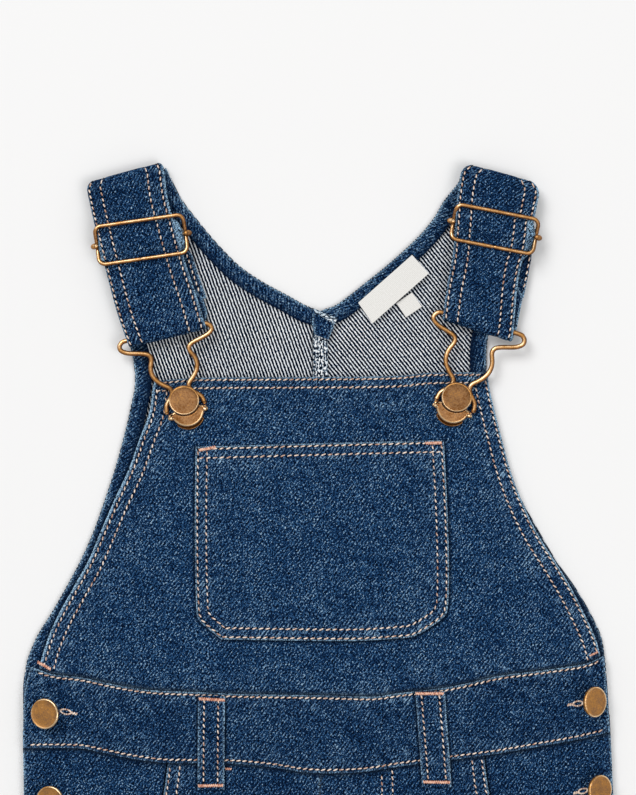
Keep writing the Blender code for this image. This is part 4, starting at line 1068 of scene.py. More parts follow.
class Strap:
    """A strap as a surface: `at` gives the place of a length along it, a share or mm across it and a lift."""

    def __init__(self, side):
        self.side, self.path = side, strap_path(side)
        self.edges = [column(STRAP_SECTIONS[side], index) for index in range(1, 5)]
        self.run = run_of(self.path[:, :2])
        along = np.gradient(self.path[:, :2], axis=0)
        self.along = along / np.linalg.norm(along, axis=1)[:, None]

    def at(self, length, across, lift, measure="share"):
        """Middle line at the length, moved off square to it by lift, then between the edges by share or mm."""
        run, slider, turn, _ = STRAP_FITTINGS[self.side]
        columns = (*self.path.T, *self.along.T)
        s, z, shift, drawn, ds, dz = (np.interp(length, self.run, values) for values in columns)
        s, z = s - lift * dz, z + lift * ds
        skew = turn / 2 * np.exp(-(((s - slider) / 14) ** 2))
        flare = [
            spread * np.exp(-(((s - slider - middle) / reach) ** 6))
            for spread, middle, reach in zip(STRAP_FLARE[self.side], (3.5, 0), (4.5, 7))
        ]
        corner = [r * (1 - np.sqrt(1 - np.clip(1 - s / r, 0, 1) ** 2)) for r in STRAP_CORNERS[self.side]]
        left_share, right_share = np.clip((s - skew) / run, 0, 1), np.clip((s + skew) / run, 0, 1)
        left = np.stack([edge(left_share) for edge in self.edges[:2]], axis=-1)
        right = np.stack([edge(right_share) for edge in self.edges[2:]], axis=-1)
        thread = (right - left) / np.linalg.norm(right - left, axis=-1)[..., None]
        left = left + thread * (shift + corner[0])[..., None]
        right = right + thread * (shift - drawn - corner[1])[..., None]
        if measure == "share":
            left, right = left - thread * flare[0][..., None], right + thread * flare[1][..., None]
            spot = left + (right - left) * np.asarray(across)[..., None]
        elif measure == "left":
            spot = left + thread * np.asarray(across)[..., None]
        else:
            spot = right - thread * np.asarray(across)[..., None]
        return np.concatenate([spot, z[..., None]], axis=-1)


def strap_sink(side, length, from_left, from_right, to_tip, on_tab):
    """How far rows of stitches and their puckers pull the face in, the wear of ridges, edges and tip, and the
    painted shadow of the front layer on the tab.
    """
    depth, strength = 0.0, 0.0
    for edge, rows in zip((from_left, from_right), STRAP_ROWS[side]):
        for row in rows:
            depth = depth + GROOVE * np.exp(-(((edge - row) / GROOVE_WIDTH) ** 2))
        slanted = (length + STRAP_SLANT * edge) * 2 * math.pi / STRAP_WAVE
        wave = np.sin(slanted + 1.2 * np.sin(length / 9))
        fade = np.exp(-np.maximum(edge - rows[1], 0) / STRAP_FADE) * smoothstep(edge / 1.2)
        depth = depth + STRAP_PUCKER * (1 - wave) / 2 * fade
        strength = np.maximum(strength, (0.3 + 0.7 * np.clip(wave, 0, 1)) * fade)
    to_left = (from_left < from_right)[..., None]
    rows = np.where(to_left, [*STRAP_ROWS[side][0], 0.7], [*STRAP_ROWS[side][1], 1.5])
    spread = np.minimum(from_left, from_right) < -0.1
    rows[..., 2] *= np.where(spread, 0.45, np.where(on_tab & (to_tip > 1.5), 0.4, 1.0))
    strength = np.where(spread, 1.6, 0.6 * strength)
    # Painted shadow that the front layer casts on the tab beside its edge.
    front_layer_shadow = np.clip(STRAP_SHIFTS[side][0] + STRAP_SHIFTS[side][2] - from_right, 0, None) / 1.2
    to_edge = np.min([from_left, from_right, to_tip], axis=0)
    return depth, np.stack([to_edge, strength, np.where(on_tab, front_layer_shadow, FAR)], axis=2), rows


def tab_start(strap):
    """Length along the strap where its end comes out below the slider's bar."""
    return float(strap.run[np.flatnonzero(strap.path[:, 0] < STRAP_FITTINGS[strap.side][1] + 8)[-1]])


# %% Straps
STRAPS = {}
for side in SIGN:
    strap = STRAPS[side] = Strap(side)
    total = strap.run[-1]
    length, share = np.meshgrid(shares(total, 0.9) * total, shares(37, 1.0), indexing="ij")
    flat_grid = strap.at(length, share, 0 * share)
    width = np.linalg.norm(flat_grid[:, -1:] - flat_grid[:, :1], axis=2) + 0 * share
    from_left, from_right = share * width, (1 - share) * width
    ends = np.minimum(length, total - length)
    full = swell(np.minimum(np.minimum(from_left, from_right), ends), STRAP_WALL)
    rims = [strap.at(length[:, 0], 0 * length[:, 0], 0 * length[:, 0], way) for way in ("left", "right")]
    spread = [np.linalg.norm(rim - flat_grid[:, end], axis=1)[:, None] for rim, end in zip(rims, (0, -1))]
    edges = (from_left - spread[0], from_right - spread[1])
    depth, seam_marks, rows = strap_sink(side, length, *edges, total - length, length > tab_start(strap))
    depth = depth + 0.15 * uneven(length, share * 37, ord(side[0]))
    upper = strap.at(length, share, (STRAP_WALL / 2 - depth) * full)
    lower = strap.at(length, share, -(STRAP_WALL / 2) * full)
    lower[[0, -1]], lower[:, [0, -1]] = upper[[0, -1]], upper[:, [0, -1]]
    weave = np.stack([from_left + 300 * ord(side[0]), -length, 0 * length], axis=2)
    finishes, node = [FINISH["body"]] * 2, f"strap_{side}"
    made, _ = shell(f"{node}_cloth", upper, lower, finishes, weave=weave, seam=seam_marks, rows=rows)
    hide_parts(node)
    cells = width[:-1, :-1] * np.diff(length, axis=0)[:, :-1] * np.diff(share, axis=1)[:-1]
    PIECES[node], AREAS[node] = made, float(cells.sum()) * MM**2
    print(f"{node}: {total:.0f} mm long, {AREAS[node] * 1e4:.0f} cm2")

# %% [markdown]
# ## Antique brass
#
# The fittings are plated steel wire and stampings in antique brass: a warm brown metal with a darker
# patina. It is a metal shader with fine pits. Its tint is mixed from a grain of 0.7 mm and patches of 4 mm,
# and the `rubbed` attribute lightens and smooths it. That lightening is painted light: a painted highlight
# where a wire or rim faces the light, and painted shade where it turns away.

# %% Brass finish
BRASS_TONES = ((0.1, "#45260c"), (0.35, "#8c5a2b"), (0.5, "#a67c56"), (0.75, "#d0954f"), (1.0, "#ffdcae"))
brass, tree, shader = new_finish("antique_brass")
spot = add_node(tree, "TexCoord", {}).outputs["Object"]
grain = add_node(tree, "TexNoise", {"Vector": spot, "Scale": 1400.0, "Detail": 3.0, "Roughness": 0.7})
patch = add_node(tree, "TexNoise", {"Vector": spot, "Scale": 260.0, "Detail": 3.0})
rubbed = add_node(tree, "Attribute", {}, attribute_name="rubbed").outputs["Fac"]
# The `rubbed` share lightens the tint as painted highlight and darkens it as painted shade.
mixed = -0.15
for source, share in ((grain, 0.8), (patch, 0.5), (rubbed, 0.6)):
    mixed = add_node(tree, "Math", {0: source, 1: share, 2: mixed}, operation="MULTIPLY_ADD")
tint = add_node(tree, "ValToRGB", {"Fac": mixed}, BRASS_TONES)
gloss = add_node(tree, "Math", {0: rubbed, 1: -0.16, 2: 0.52}, operation="MULTIPLY_ADD")
pits = add_node(tree, "Bump", {"Height": grain, "Distance": 0.04 * MM, "Strength": 0.5})
feed(shader, {"Base Color": tint, "Roughness": gloss, "Normal": pits, "Metallic": 1.0})
print(brass.name, "has", len(tree.nodes), "nodes")

# %% [markdown]
# ## Sliders and clips
#
# Both are bent from round wire. A wire is a circle carried along a path: at each point the circle
# stands square to the path, turned by a fixed direction that the path never follows. The frame of a
# slider is closed with a joint, where the wire is a little thinner, and its bar ends in two knobs. A
# clip is one bent wire whose ends hold a stamped catch plate, with a thinner plate and two pins behind
# it.

# %% A bent wire
# Spacing of a wire's rings, points of a ring, depth of a joint as a share, length of a joint and of a knob.
WIRE_STEP, WIRE_SIDES, JOINT_DEPTH, JOINT_LENGTH, KNOB_LENGTH = 0.45, 14, 0.45, 0.3, 2.4
# Rings of a rounded end, as shares of the radius past the end of the path.
ROUND_END = np.array([-0.02, 0.35, 0.75, 0.95])
# Direction towards the light: wire that faces it gets a painted highlight, wire turned away painted shade.
LIT_SIDE = np.array([-0.27, 0.27, 0.92])


def ring_quads(first, second):
    """Faces from each ring of points to its neighbour: a point, its neighbour, and the next points of both."""
    next_first, next_second = (np.roll(ring, -1, axis=1) for ring in (first, second))
    return np.stack([first, second, next_second, next_first], axis=2).reshape(-1, 4)


def tube(name, path, radius, upward, closed=False, joint=None, knob=0.0, bright=0.0):
    """A round wire: points = path + radius (cos a · side + sin a · up), side = path direction x upward."""
    path = walked(np.vstack([path, path[:1]]) if closed else path, WIRE_STEP)
    path = path[:-1] if closed else path
    padded = np.vstack([path[-1:], path, path[:1]]) if closed else np.vstack([path[:1], path, path[-1:]])
    along = padded[2:] - padded[:-2]
    along /= np.linalg.norm(along, axis=1)[:, None]
    side = np.cross(along, upward)
    side /= np.linalg.norm(side, axis=1)[:, None]
    up = np.cross(side, along)
    thick = np.full(len(path), radius)
    if joint is not None:
        thick -= JOINT_DEPTH * radius * np.exp(-((np.linalg.norm(path - joint, axis=1) / JOINT_LENGTH) ** 2))
    to_end = np.minimum(*(np.linalg.norm(path - path[end], axis=1) for end in (0, -1)))
    thick += knob * np.exp(-((to_end / KNOB_LENGTH) ** 4))
    if not closed:
        radius, past = thick[0], ROUND_END[:, None]
        start = path[0] - along[0] * radius * past[::-1]
        path = np.vstack([start, path, path[-1] + along[-1] * radius * past])
        side, up = (np.vstack([[line[0]] * len(past), line, [line[-1]] * len(past)]) for line in (side, up))
        round_off = radius * np.sqrt(1 - np.clip(ROUND_END, 0, 1) ** 2)
        thick = np.concatenate([round_off[::-1], thick, round_off])
    angle = np.linspace(0, 2 * math.pi, WIRE_SIDES, endpoint=False)
    outward = side[:, None] * np.cos(angle)[:, None] + up[:, None] * np.sin(angle)[:, None]
    rings = path[:, None] + thick[:, None, None] * outward
    # Painted light on the wire: a sharp painted glint and a broad painted highlight on the side facing the
    # light, painted shade on the side away, plus a given lift.
    facing = outward @ LIT_SIDE
    glint = 0.8 * smoothstep((facing - 0.82) / 0.18)
    painted_light = glint + 0.55 * smoothstep((facing - 0.15) / 0.6) - 0.5 + bright
    number = np.arange(rings[..., 0].size).reshape(rings.shape[:2])
    first, after = (number, np.roll(number, -1, axis=0)) if closed else (number[:-1], number[1:])
    faces = ring_quads(first, after).tolist()
    if not closed:
        faces += [number[0].tolist(), number[-1, ::-1].tolist()]
    made = add_mesh(name, rings.reshape(-1, 3), faces, [brass], rubbed=painted_light.ravel())
    return made


print("a wire has", WIRE_SIDES, "sides and a ring every", WIRE_STEP, "mm")

# %% Seats and smooth curves


def turned_to(seat, across, along):
    """Local across and along to x and y: turned by the seat's lean, then moved to its centre."""
    centre_x, centre_y, lean = seat[:3]
    cos, sin = cos_sin(lean)
    across, along = np.asarray(across, float), np.asarray(along, float)
    return centre_x + across * cos - along * sin, centre_y + across * sin + along * cos


def smooth_through(points, rounds=3):
    """A smooth curve through the points: each round adds a point (9 (b + c) - a - d) / 16 between b and c."""
    points = np.asarray(points, float)
    for _ in range(rounds):
        padded = np.concatenate([2 * points[:1] - points[1:2], points, 2 * points[-1:] - points[-2:-1]])
        middle = (9 * (padded[1:-2] + padded[2:-1]) - padded[:-3] - padded[3:]) / 16
        points = np.insert(points, np.arange(1, len(points)), middle, axis=0)
    return points


def metal(piece, node):
    """A brass piece that stands for its CAD node."""
    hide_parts(node)
    PIECES[node] = piece
    return piece


print("points on a smooth curve through three:", len(smooth_through(((0, 0), (1, 1), (2, 0)))))

# %% Sliders
# Side of the frame, across the strap, where its joint is.
SLIDER_JOINT = {"left": -1.0, "right": 1.0}
# Columns: turn at which a corner starts, its side across and along.
FRAME_CORNERS = ((0, 1, 1), (90, -1, 1), (180, -1, -1), (270, 1, -1))
for side, seat in SLIDERS.items():
    half_length, half_width = seat[3:]
    inset = np.array([half_length, half_width]) - SLIDER_CORNER
    corners = [arc(inset * (x, y), SLIDER_CORNER, turn, turn + 90, 10) for turn, x, y in FRAME_CORNERS]
    outline = walked(np.vstack([*corners, corners[0][:1]]), 0.5)[:-1]
    x, y = turned_to(seat, *outline.T)
    z = SLIDER_HEIGHT - SLIDER_BOW * (1 - (outline[:, 1] / half_width) ** 2) ** 2
    gap = np.array([*turned_to(seat, SLIDER_JOINT[side], -half_width), SLIDER_HEIGHT])
    frame_path = np.column_stack([x, y, z])
    wire = tube(f"slider_frame_{side}_wire", frame_path, SLIDER_WIRE, (0, 0, 1), closed=True, joint=gap)
    metal(wire, f"slider_frame_{side}")
    hook = arc((half_length, BAR_HEIGHT + SLIDER_HOOK), SLIDER_HOOK, -90, 75, 16)
    across, height = np.concatenate([hook[::-1] * (-1, 1), hook]).T
    x, y = turned_to(seat, across, 0 * across)
    level = np.array([*turned_to((0, 0, seat[2]), 0, 1), 0])
    bar_path = np.column_stack([x, y, height])
    # The bar's wire gets a small painted highlight lift.
    bar = tube(f"slider_bar_{side}_wire", bar_path, SLIDER_BAR_WIRE, level, knob=0.55, bright=0.2)
    metal(bar, f"slider_bar_{side}")
print("sliders:", [name for name in PIECES if name.startswith("slider")])

# %% Clips
# Columns: button x, button height, lean in degrees, length share, shear, shift of the wire.
CLIPS = {"left": (-60.7, 171.4, 16.1, 0.945, -0.06, -0.3), "right": (64.6, 172.8, -17.4, 1.04, 0.03, 0.6)}
CLIP_WIRE = 1.1
RING_HEIGHT = ON_FRONT + CLIP_WIRE + 0.1
# Half of the bent wire, from the middle of the strap bar to the catch plate. Columns: across, along.
CLIP_HALF = np.array((
    (0, 34), (9, 34), (18.2, 34), (20.5, 33.2), (21.5, 31.8), (21.3, 30), (19.2, 28.4), (16.3, 27.4),
    (12.6, 26.4), (9.9, 25.2), (9, 23.6), (9.2, 21.8), (10.2, 19.4), (10.7, 16.8), (10.3, 14),
    (9, 11.5), (6.9, 9.2), (4.7, 7.2), (4.1, 5.4), (4.6, 3.4), (6.4, 1.5), (8.3, -0.8), (9, -3.9),
))
PLATE_RADIUS, PLATE_DROP, PLATE_NOTCH, PLATE_THICK, PLATE_ROUNDING = 7.9, 4.9, 7.1, 1.4, 1.15
PLATE_LUG = np.array(((8.9, -7.0), (9.2, -5.2), (7.6, -4.7)))
# Painted light on each ring of a plate, from its underside over the rounded rim: painted shade below, a
# painted highlight on the rim.
PLATE_LIGHT = np.array([-0.5, -0.3, 0.1, 0.8, 1.4, 1.2, 0.1])
BACKING, BACKING_SHIFT, BACKING_ROUNDING = 0.6, (0, -1.3), 0.3
# Ends of a pin across and along, its radius and how far it stands over the backing.
PIN, PIN_RADIUS, PIN_RISE = np.array(((7.4, -7.0), (8.7, -6.8))), 0.9, 1.2


def plate(name, outline, low, thick, edge, tone):
    """A stamped plate: its outline at rising heights, drawn in by a quarter circle at the upper edge."""
    turn = np.radians(np.linspace(0, 90, 5))
    drawn_in = np.concatenate([[edge * 0.6, 0], edge * (1 - np.cos(turn))])
    heights = low + np.concatenate([[0, edge * 0.6], thick - edge + edge * np.sin(turn)])
    step = np.roll(outline, -1, axis=0) - np.roll(outline, 1, axis=0)
    inward = np.column_stack([-step[:, 1], step[:, 0]]) / np.linalg.norm(step, axis=1)[:, None]
    swept = np.sum(outline[:, 0] * np.roll(outline[:, 1], -1) - np.roll(outline[:, 0], -1) * outline[:, 1])
    inward *= math.copysign(1, swept)
    rings = np.stack([
        np.column_stack([outline + inward * distance, np.full(len(outline), height)])
        for distance, height in zip(drawn_in, heights)
    ])
    number = np.arange(rings[..., 0].size).reshape(rings.shape[:2])
    quads = ring_quads(number[:-1], number[1:])[:, (0, 3, 2, 1)]
    faces = [*quads.tolist(), number[0, ::-1].tolist(), number[-1].tolist()]
    if swept < 0:
        faces = [face[::-1] for face in faces]
    # Painted light per ring, moved up or down by the plate's tone.
    rubbed = np.repeat(tone + PLATE_LIGHT, len(outline))
    made = add_mesh(name, rings.reshape(-1, 3), faces, [brass], rubbed=rubbed)
    made.data.set_sharp_from_angle(angle=math.radians(50))
    return made


for side, clip in CLIPS.items():
    stretch, shear, shift = clip[3:]
    across, along = smooth_through(np.concatenate([CLIP_HALF[::-1] * (-1, 1), CLIP_HALF[1:]])).T
    along = stretch * along
    share = along / (stretch * CLIP_HALF[0, 1])
    x, y = turned_to(clip, across + shift, along + shear * across * np.clip(share, 0, 1))
    z = RING_HEIGHT + (STRAP_LOOP_HEIGHT - RING_HEIGHT) * smoothstep(share)
    wire = tube(f"clip_wire_{side}_bent", np.column_stack([x, y, z]), CLIP_WIRE, (0, 0, 1))
    metal(wire, f"clip_wire_{side}")
    rim = arc((0, -PLATE_DROP), PLATE_RADIUS, -170, -10, 48)
    notch = arc((0, 0), PLATE_NOTCH, -36, -144, 30)
    behind_notch = arc(BACKING_SHIFT, PLATE_NOTCH + 1.5, -52, -128, 20)
    outline = np.concatenate([rim, PLATE_LUG, notch, PLATE_LUG[::-1] * (-1, 1)])
    backing = np.concatenate([rim[8:-8] + BACKING_SHIFT, behind_notch])
    outline, backing = (np.column_stack(turned_to(clip, *line.T)) for line in (outline, backing))
    over = ON_FRONT + BACKING
    # The catch plate's painted light is set a little lower, and the backing's much lower as painted shade
    # under the catch plate.
    catch = plate(f"clip_plate_{side}_stamped", outline, over, PLATE_THICK, PLATE_ROUNDING, -0.2)
    metal(catch, f"clip_plate_{side}")
    behind = plate(f"clip_backing_{side}_stamped", backing, ON_FRONT, BACKING, BACKING_ROUNDING, -0.9)
    for way in (-1, 1):
        pin = np.column_stack([*turned_to(clip, way * PIN[:, 0], PIN[:, 1]), np.full(2, over + PIN_RISE)])
        # The pins get a strong painted highlight lift.
        tube(f"clip_pin_{side}_{way}", pin, PIN_RADIUS, (0, 0, 1), bright=0.8)
print("clips:", [name for name in PIECES if name.startswith("clip")])

# %% Buttons
# Columns: radius, height over the underside of the head, painted light (a painted highlight on the rim,
# painted shade just inside it).
BUTTON_PROFILE = (
    (0.0, -3.2, 0), (2.1, -3.2, 0), (2.3, -3.0, 0), (2.3, -0.2, 0), (2.6, 0.0, 0), (6.2, 0.0, 0),
    (6.7, 0.2, 0.1), (6.95, 0.6, 0.2), (7.0, 1.1, 0.5), (6.97, 1.5, 0.8), (6.87, 1.78, 1.3), (6.66, 1.93, 1.5),
    (6.4, 1.95, 1.1), (6.2, 1.86, -0.3), (6.0, 1.8, -0.1), (4.5, 1.82, 0), (3.0, 1.85, 0), (1.5, 1.88, 0),
    (0.0, 1.9, 0),
)
BUTTON_SIDES, SHANK_RADIUS, BIB_TILT, BIB_RISE = 64, 2.3, 18.0, 8.2
# Columns: name, x, height, level of the cloth under it, tilt in degrees.
SIDE_BUTTONS = (
    ("left_upper", -123.9, 27.2, ON_BAND, -22.0), ("left_lower", -121.6, -13.0, ON_FRONT, -22.0),
    ("right_upper", 127.0, 32.8, ON_BAND, 40.0), ("right_lower", 129.4, -7.8, ON_FRONT, 38.0),
)


def button(profile, tilt, lean, tone=0.0):
    """A turned solid: (r cos a, r sin a, h), tilted about its across axis and then leant about the upright."""
    radius, height, rubbed = np.array(profile, float).T
    angles = np.linspace(0, 2 * math.pi, BUTTON_SIDES, endpoint=False)
    x, y = np.outer(radius[1:-1], np.cos(angles)), np.outer(radius[1:-1], np.sin(angles))
    z = np.repeat(height[1:-1, None], BUTTON_SIDES, axis=1)
    rounds = ((0, x, 0), (0, y, 0), (height[0], z, height[-1]))
    x, y, z = (np.concatenate([[first], ring.ravel(), [last]]) for first, ring, last in rounds)
    cos, sin = cos_sin(tilt)
    y, z = y * cos - z * sin, y * sin + z * cos
    x, y = turned_to((0, 0, lean), x, y)
    number = 1 + np.arange((len(radius) - 2) * BUTTON_SIDES).reshape(-1, BUTTON_SIDES)
    after = np.roll(number, -1, axis=1)
    faces = ring_quads(number[:-1], number[1:])[:, (0, 3, 2, 1)].tolist()
    faces += [(0, b, a) for a, b in zip(number[0], after[0])]
    faces += [(len(x) - 1, a, b) for a, b in zip(number[-1], after[-1])]
    # The rim's painted highlight is strongest on its lower side.
    lower_rim_highlight = 0.25 + 0.75 * smoothstep(0.5 - 0.8 * np.sin(angles + 0.3))
    rubbed = np.concatenate([[0], np.outer(rubbed[1:-1], lower_rim_highlight).ravel(), [0]]) + tone
    return np.column_stack([x, y, z]), faces, rubbed


for side in SIGN:
    points, faces, rubbed = button(BUTTON_PROFILE, BIB_TILT, CLIPS[side][2])
    seat = (*CLIPS[side][:2], BIB_RISE)
    head = add_mesh(f"bib_button_{side}_stamped", points + seat, faces, [brass], rubbed=rubbed)
    metal(head, f"bib_button_{side}")
for name, x, y, level, tilt in SIDE_BUTTONS:
    profile = np.array(BUTTON_PROFILE)
    shank = (profile[:, 0].max() - SHANK_RADIUS) * math.tan(math.radians(abs(tilt)))
    profile[:3, 1] = -shank, -shank, 0.2 - shank
    # The side buttons are painted 0.2 lighter, as painted light, because their tilted faces catch less of the
    # light.
    points, faces, rubbed = button(profile, tilt, 90, 0.2)
    seat = (x, y, level + float(relief(np.array(x), np.array(y))) - points[:, 2].min())
    head = add_mesh(f"side_button_{name}_stamped", points + seat, faces, [brass], rubbed=rubbed)
    metal(head, f"side_button_{name}")
print("brass pieces:", sum(piece.data.materials[0] == brass for piece in PIECES.values()))

# %% [markdown]
# ## Topstitching
#
# The rows are lockstitch in a peach cotton thread: each stitch shows as a short slanted grain of
# thread, 2.0 to 2.55 mm long in a 2.8 mm pitch and 3.1 mm on the pocket, and dips into a needle hole at
# both ends. Each is a small lens of 24 faces along the row, and all stitches of a panel are one mesh.
# The shade in the needle holes is painted: each is the same lens, flat and dark. Bar tacks and buttonholes
# are grains laid side by side.

# %% Thread finish


def thread_finish(name, dark, light):
    """Cotton thread: two tints mixed by a noise about as fine as its fuzz."""
    made, tree, shader = new_finish(name)
    spot = add_node(tree, "TexCoord", {}).outputs["Object"]
    shade = add_node(tree, "TexNoise", {"Vector": spot, "Scale": 900.0, "Detail": 2.0})
    tint = add_node(tree, "ValToRGB", {"Fac": shade}, ((0.36, dark), (0.58, light)))
    feed(shader, {"Base Color": tint, "Roughness": 0.7, "Sheen Weight": 0.1})
    return made


thread = thread_finish("peach_cotton_thread", "#ad7c62", "#fdebdb")
satin_thread = thread_finish("peach_tack_thread", "#b9745a", "#f3c3a9")
# Painted shade: a flat near-black lens stands for the shade inside each needle hole.
hole_shade, _, shader = new_finish("needle_hole_shade")
feed(shader, {"Base Color": linear("#040914"), "Roughness": 1.0, "Specular IOR Level": 0.0})
print("threads:", thread.name, satin_thread.name)

# %% Grains of thread
# Pitch of a row and of the pocket's, length of a stitch up the garment, what one across it gains, its turn.
PITCH, POCKET_PITCH, STITCH, LEVEL_STITCH, TWIST, TWIST_SPREAD = 2.8, 3.1, 2.0, 0.55, 16.0, 5
THREAD_WIDTH, THREAD_HEIGHT, HOLE, HOLE_WIDTH, HOLE_HEIGHT = 0.36, 0.28, 1.1, 0.32, 0.1
# How far the ends of a stitch are sunk and those of a hole lifted, and how far a grain arches.
SUNK, LIFTED, ARCH = -0.03, 0.02, 0.16
RING_AT, RING_SIZE, SIDES = np.array([-0.33, 0.0, 0.33]), np.array([0.8, 1.0, 0.8]), 6
UPRIGHT = (0.0, 0.0, 1.0)


def sew(name, starts, ends, up, width=THREAD_WIDTH, height=THREAD_HEIGHT, finish=None):
    """Thread grains from starts to ends: three rings of six points along each, a point at both ends."""
    starts, ends, up = (np.asarray(points, float).reshape(-1, 3) for points in (starts, ends, up))
    count = len(starts)
    along = ends - starts
    side = np.cross(along, up)
    side /= np.linalg.norm(side, axis=1)[:, None]
    angle = np.linspace(0, 2 * math.pi, SIDES, endpoint=False)
    middle = (starts + ends) / 2
    rings = middle[:, None] + along[:, None] * RING_AT[:, None] + up[:, None] * (ARCH * RING_SIZE[:, None])
    across = side[:, None, None] * (width * np.cos(angle))[:, None]
    across = across + up[:, None, None] * (height * np.sin(angle))[:, None]
    grains = rings[:, :, None] + across * RING_SIZE[:, None, None]
    points = np.concatenate([grains.reshape(count, -1, 3), starts[:, None], ends[:, None]], axis=1)
    number = np.arange(3 * SIDES).reshape(3, SIDES)
    after = np.roll(number, -1, axis=1)
    low = np.stack([np.full(SIDES, 3 * SIDES), number[0], after[0]], axis=1)
    high = np.stack([np.full(SIDES, 3 * SIDES + 1), after[2], number[2]], axis=1)
    offsets = np.arange(count)[:, None, None] * (3 * SIDES + 2)
    faces = []
    for part in (ring_quads(number[:-1], number[1:]), low, high):
        faces += (part + offsets).reshape(-1, part.shape[1]).tolist()
    return add_mesh(name, points.reshape(-1, 3), faces, [finish or thread])


def sew_found(name, found):
    """Two meshes with all rows of a panel: its thread and the painted shade of its needle holes."""
    first, last, hole_first, hole_last, up = (np.concatenate(parts) for parts in zip(*found))
    return [
        sew(name, first, last, up),
        sew(f"{name}_holes", hole_first, hole_last, up, HOLE_WIDTH, HOLE_HEIGHT, hole_shade),
    ]


print("faces of a grain:", (len(RING_AT) + 1) * SIDES)

# %% Rows of stitches


def row_on(face, line, pitch=PITCH):
    """Ends of stitches and of needle holes at an even pitch along a row, each stitch turned by the twist."""
    line = walked(line, pitch)
    middle, step = (line[1:] + line[:-1]) / 2, np.diff(line, axis=0)
    step /= np.linalg.norm(step, axis=1)[:, None]
    turn = np.radians(TWIST + np.random.default_rng(len(line)).normal(0, TWIST_SPREAD, len(step)))
    cos, sin = np.cos(turn)[:, None], np.sin(turn)[:, None]
    heading = step * cos + np.column_stack([-step[:, 1], step[:, 0]]) * sin
    half = (STITCH + LEVEL_STITCH * np.abs(step[:, :1])) / 2
    ends = [middle + heading * half * way for way in (-1, 1)]
    ends += [line[:-1] + step * HOLE / 2 * way for way in (-1, 1)]
    lifts = (SUNK, SUNK, LIFTED, LIFTED)
    spots = [np.column_stack([spot, face(*spot.T) + lift]) for spot, lift in zip(ends, lifts)]
    return [*spots, np.tile(UPRIGHT, (len(step), 1))]


def sew_rows(name, node, rows, **options):
    """Thread and needle holes of every row of a panel. A row is its line, already moved in from the edge."""
    return sew_found(name, [row_on(FACES[node], line, **options) for line in rows])


def inside_of(line, distances, keep):
    """The line moved sideways by each distance, cut to the points for which keep is true."""
    moved = [beside(line, distance) for distance in distances]
    return [row[keep(*row.T)] for row in moved]


# %% Rows on the bib, pocket, waistband and legs
SEWN = {}
inside_bib = lambda x, y: (
    (y > band_upper(x) + 0.5) & (y < bib_top(x) - 0.9) & (x > bib_left(y) + 0.7) & (x < bib_right(y) - 0.7)
)
bib_rows = []
for name, (first, second, *_) in BIB_EDGES.items():
    way = 1 if name == "bib right" else -1
    bib_rows += inside_of(EDGE_OF[name], (way * first, way * second), inside_bib)
SEWN["bib"] = sew_rows("bib_topstitch", "bib", bib_rows)

inside_patch = lambda x, y: (
    (x > patch_left(y) + 0.9) & (x < patch_right(y) - 0.9)
    & (y < patch_top(x) - 0.9) & (y > patch_bottom(x) + 0.9)
)
mouth_rows = [walked(beside(EDGE_OF["patch mouth"], -row), 1.0) for row in PATCH_ROWS]
patch_rows = [row[inside_patch(*row.T)] for row in mouth_rows]
patch_rows += inside_of(EDGE_OF["patch round"], PATCH_ROWS, inside_patch)
SEWN["bib_pocket"] = sew_rows("pocket_topstitch", "bib_pocket", patch_rows, pitch=POCKET_PITCH)

inside_band = lambda x, y: (x > band_left(y) + 1) & (x < band_right(y) - 1)
band_rows = []
for name, way in (("band top", -1), ("band bottom", 1)):
    band_rows += inside_of(EDGE_OF[name], (way * BAND_ROWS[name][0],), inside_band)
SEWN["front_waistband"] = sew_rows("waistband_topstitch", "front_waistband", band_rows)

# The curve that is sewn on the right leg as if it had a fly, and its rows.
FLY = ((30.2, 1.0), (30.6, -20.0), (31.0, -48.0), (29.0, -62.0), (22.0, -74.0), (12.0, -81.0), (2.6, -84.0))
FLY_ROWS, HEM_ROW = (0.0, 4.9), HEM + HEM_ROWS[0]
below_band = lambda x, y: (y < band_lower(x) - 0.6) & (y > MOUTH_END + 2)
for side, sign in SIGN.items():
    rows = inside_of(EDGE_OF[f"mouth {side}"], [sign * row for row in MOUTH_ROWS], below_band)
    hem_ends = sorted((float(INSEAM[side](HEM_ROW)) + sign * 1.5, float(SIDE[side](HEM_ROW)) - sign * 1.5))
    rows.append(level_edge(straight(HEM_ROW), *hem_ends))
    if side == "right":
        rows += inside_of(smooth_through(FLY), FLY_ROWS, below_band)
    SEWN[f"front_leg_{side}"] = sew_rows(f"leg_{side}_topstitch", f"front_leg_{side}", rows)
for name, lines in LOOP_ROWS.items():
    rows = [line + np.array([(0, 3.2), (0, -1.2)]) for line in lines]
    SEWN[f"belt_loop_{name}"] = sew_rows(f"belt_loop_{name}_topstitch", f"belt_loop_{name}", rows)
print("panels with rows:", list(SEWN))

# %% Rows on the straps
# How far each end of a stitch lies beside the row, and how far after its middle the hole begins.
SLANT, HOLE_AFTER = 0.22, 0.9


def strap_row(strap, middle, row, measure, lift):
    """Ends of stitches and needle holes at even lengths along a strap, and the direction off its face."""
    ends = (
        (middle - STITCH / 2, -SLANT), (middle + STITCH / 2, SLANT),
        (middle + HOLE_AFTER, 0.0), (middle + HOLE_AFTER + HOLE, 0.0),
    )
    spots = [strap.at(at, 0 * at + row + across, 0 * at + lift, measure) for at, across in ends]
    low, high = (strap.at(middle, 0 * middle + row, 0 * middle + height, measure) for height in (0.0, 1.0))
    return [*spots, (high - low) / np.linalg.norm(high - low, axis=1)[:, None]]


